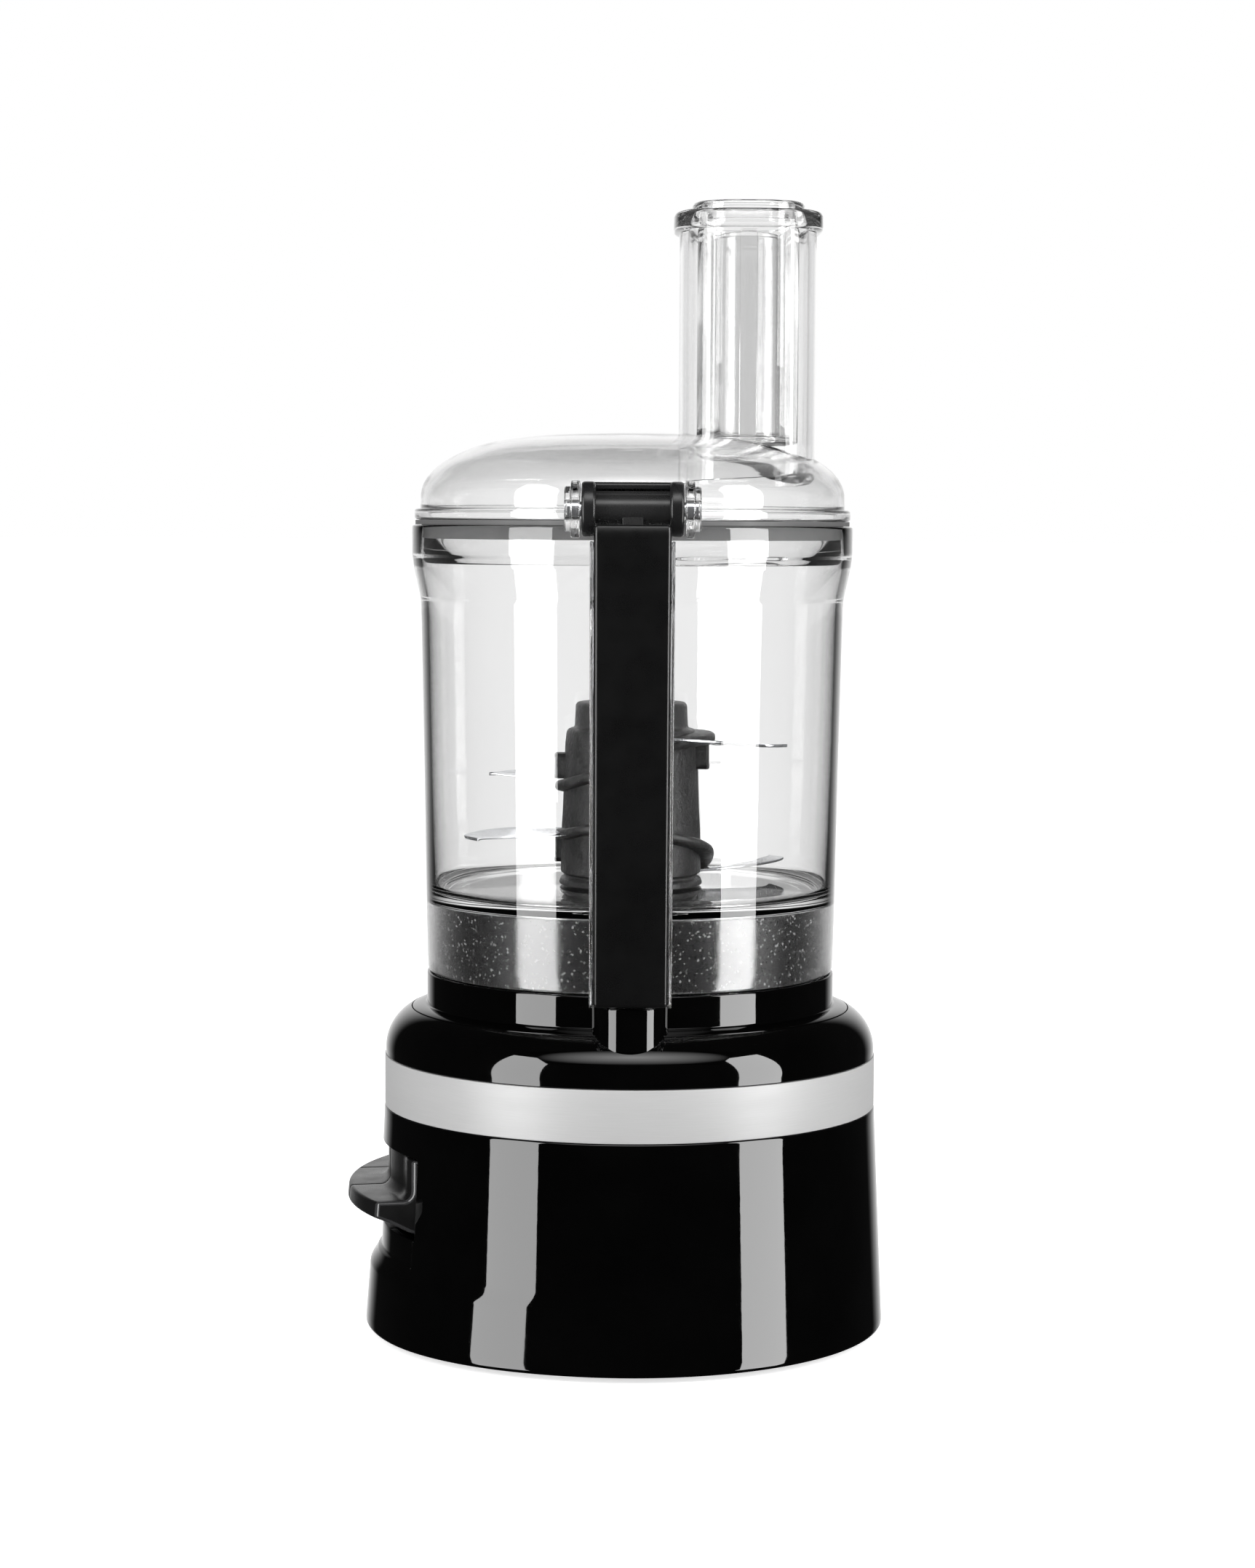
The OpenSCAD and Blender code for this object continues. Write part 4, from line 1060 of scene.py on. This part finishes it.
def soft_box(name, azimuth, half_angle, strength, dist=1.35, low=-0.75, high=1.25):
    """An upright strip light on a circle about the object, facing its axis. Azimuth is from +X towards +Y."""
    a = radians(azimuth)
    c = Vector((dist * cos(a), dist * sin(a), 0))
    side = Vector((-sin(a), cos(a), 0)) * dist * tan(radians(half_angle))
    me = bpy.data.meshes.new(name)
    pts = [c - side + Vector((0, 0, low)), c + side + Vector((0, 0, low)), c + side + Vector((0, 0, high)),
        c - side + Vector((0, 0, high))]
    me.from_pydata(pts, [], [(0, 3, 2, 1)])
    me.materials.append(emitter(name, strength))
    lamp(name, me)


def soft_panel(name, centre, aim, width, height, strength):
    """A level-sided soft panel that faces a point."""
    c, to = Vector(centre), Vector(aim)
    n = (to - c).normalized()
    side = n.cross(Vector((0, 0, 1))).normalized() * width / 2
    rise = side.cross(n).normalized() * height / 2
    me = bpy.data.meshes.new(name)
    me.from_pydata([c - side - rise, c + side - rise, c + side + rise, c - side + rise], [], [(0, 1, 2, 3)])
    m = emitter(name, strength)
    t = m.node_tree
    # the light fades towards the panel's rim
    uv = me.uv_layers.new(name="face")
    for k, c2 in enumerate(((0, 0), (1, 0), (1, 1), (0, 1))):
        uv.data[k].uv = c2
    coord = t.nodes.new("ShaderNodeTexCoord")
    shift = t.nodes.new("ShaderNodeMapping")
    shift.inputs["Location"].default_value = (-1, -1, 0)
    shift.inputs["Scale"].default_value = (2, 2, 1)
    fade = t.nodes.new("ShaderNodeTexGradient")
    fade.gradient_type = "SPHERICAL"
    gain = t.nodes.new("ShaderNodeMath")
    gain.operation = "MULTIPLY"
    gain.inputs[1].default_value = strength * 1.6
    t.links.new(coord.outputs["UV"], shift.inputs["Vector"])
    t.links.new(shift.outputs["Vector"], fade.inputs["Vector"])
    t.links.new(fade.outputs["Fac"], gain.inputs[0])
    t.links.new(gain.outputs[0], t.nodes["Emission"].inputs["Strength"])
    me.materials.append(m)
    lamp(name, me)


soft_box("strip_left", -52.5, 12.0, 8.0)
soft_box("strip_right", 61.0, 11.2, 10.0)
soft_panel("panel_top", (0.75, 0.03, 1.1), (0.0, 0.0, 0.15), 1.9, 0.8, 3.0)

floor_mesh = bpy.data.meshes.new("floor")
floor_mesh.from_pydata([(-60, -60, 0), (60, -60, 0), (60, 60, 0), (-60, 60, 0)], [], [(0, 1, 2, 3)])
floor_mat = bpy.data.materials.new("pale_floor")
floor_mat.use_nodes = True
_ft = floor_mat.node_tree
for _key, _v in (("Base Color", (0.9, 0.9, 0.9, 1)), ("Roughness", 0.9), ("Specular IOR Level", 0.0),
    ("Emission Color", (1, 1, 1, 1)), ("Emission Strength", 0.62)):
    _ft.nodes["Principled BSDF"].inputs[_key].default_value = _v
_white = _ft.nodes.new("ShaderNodeEmission")
_path = _ft.nodes.new("ShaderNodeLightPath")
_deep = _ft.nodes.new("ShaderNodeMapRange")
_dim = _ft.nodes.new("ShaderNodeMapRange")
for _node, _levels in ((_deep, (3.5, 7.0, 0.05, 0.6)), (_dim, (0.0, 1.0, 1.0, 0.05))):
    for _key, _v in zip(("From Min", "From Max", "To Min", "To Max"), _levels):
        _node.inputs[_key].default_value = _v
_ft.links.new(_path.outputs["Transmission Depth"], _deep.inputs["Value"])
_ft.links.new(_deep.outputs["Result"], _dim.inputs["To Max"])
_pick = _ft.nodes.new("ShaderNodeMixShader")
_ft.links.new(_path.outputs["Glossy Depth"], _dim.inputs["Value"])
_ft.links.new(_dim.outputs["Result"], _white.inputs["Strength"])
_ft.links.new(_path.outputs["Is Camera Ray"], _pick.inputs[0])
_ft.links.new(_white.outputs[0], _pick.inputs[1])
_ft.links.new(_ft.nodes["Principled BSDF"].outputs[0], _pick.inputs[2])
_ft.links.new(_pick.outputs[0], _ft.nodes["Material Output"].inputs["Surface"])
floor_mesh.materials.append(floor_mat)
floor = bpy.data.objects.new("floor", floor_mesh)
SCENE.collection.objects.link(floor)
floor.visible_glossy = False


def studio_world():
    world = bpy.data.worlds.new("studio")
    SCENE.world = world
    world.use_nodes = True
    t = world.node_tree
    t.nodes.clear()

    def node(kind, **props):
        n = t.nodes.new(kind)
        for k, v in props.items():
            setattr(n, k, v)
        return n

    def calc(op, a, b=None):
        n = node("ShaderNodeMath", operation=op)
        for i, v in enumerate((a, b)):
            if v is None:
                continue
            if isinstance(v, (int, float)):
                n.inputs[i].default_value = v
            else:
                t.links.new(v, n.inputs[i])
        return n.outputs[0]

    def ramp(src, lo, hi, a, b):
        n = node("ShaderNodeMapRange", interpolation_type="SMOOTHSTEP")
        for key, v in (("From Min", lo), ("From Max", hi), ("To Min", a), ("To Max", b)):
            n.inputs[key].default_value = v
        t.links.new(src, n.inputs["Value"])
        return n.outputs["Result"]

    coord = node("ShaderNodeTexCoord")
    sep = node("ShaderNodeSeparateXYZ")
    t.links.new(coord.outputs["Generated"], sep.inputs[0])
    x, z = sep.outputs["X"], sep.outputs["Z"]
    path = node("ShaderNodeLightPath")
    back = ramp(calc("MULTIPLY", x, -1.0), 0.80, 0.99, 0.0, 1.0)
    wall = calc("GREATER_THAN", path.outputs["Transmission Depth"], 0.5)
    deep = ramp(path.outputs["Transmission Depth"], 3.5, 7.0, 0.10, 0.58)
    inner = calc("MULTIPLY", wall, calc("MAXIMUM", deep,
        ramp(calc("MULTIPLY", x, -1.0), 0.2, 0.95, 0.05, 1.0)))
    glossy = calc("MAXIMUM", calc("ADD", back, 0.012), inner)
    through = calc("MULTIPLY", ramp(calc("MULTIPLY", x, -1.0), -0.3, 0.85, 0.42, 1.0),
        ramp(z, 0.25, 0.8, 1.0, 0.62))
    diffuse = 0.55
    cam, tr = path.outputs["Is Camera Ray"], path.outputs["Is Diffuse Ray"]
    mirrored = calc("GREATER_THAN", path.outputs["Glossy Depth"], 0.5)

    def pick(flag, yes, no):
        inverse = calc("SUBTRACT", 1.0, flag)
        return calc("ADD", calc("MULTIPLY", flag, yes), calc("MULTIPLY", inverse, no))

    level = pick(cam, 1.0, pick(tr, diffuse, pick(mirrored, glossy, through)))
    bg = node("ShaderNodeBackground")
    bg.inputs["Color"].default_value = (1, 1, 1, 1)
    t.links.new(level, bg.inputs["Strength"])
    out = node("ShaderNodeOutputWorld")
    t.links.new(bg.outputs[0], out.inputs["Surface"])


studio_world()

cam_data = bpy.data.cameras.new("camera")
cam_data.sensor_width = 36.0
cam_data.lens = 36.0 * 4669 / 2156
cam_data.clip_start, cam_data.clip_end = 0.05, 200
cam = bpy.data.objects.new("camera", cam_data)
SCENE.collection.objects.link(cam)
pitch, roll = radians(4.371), radians(0.30)
forward = Vector((-cos(pitch), 0, -sin(pitch)))
up = Vector((-sin(pitch), 0, cos(pitch)))
right = forward.cross(up)
up2 = up * cos(roll) - right * sin(roll)
right2 = right * cos(roll) + up * sin(roll)
rot = Matrix((right2, up2, -forward)).transposed().to_4x4()
cam.matrix_world = Matrix.Translation((1.233, -0.0013, 0.293)) @ rot
SCENE.camera = cam

SCENE.view_settings.view_transform = "Standard"
SCENE.cycles.max_bounces = 20
SCENE.cycles.transmission_bounces = 20
SCENE.cycles.transparent_max_bounces = 20
SCENE.cycles.glossy_bounces = 6
SCENE.cycles.diffuse_bounces = 4
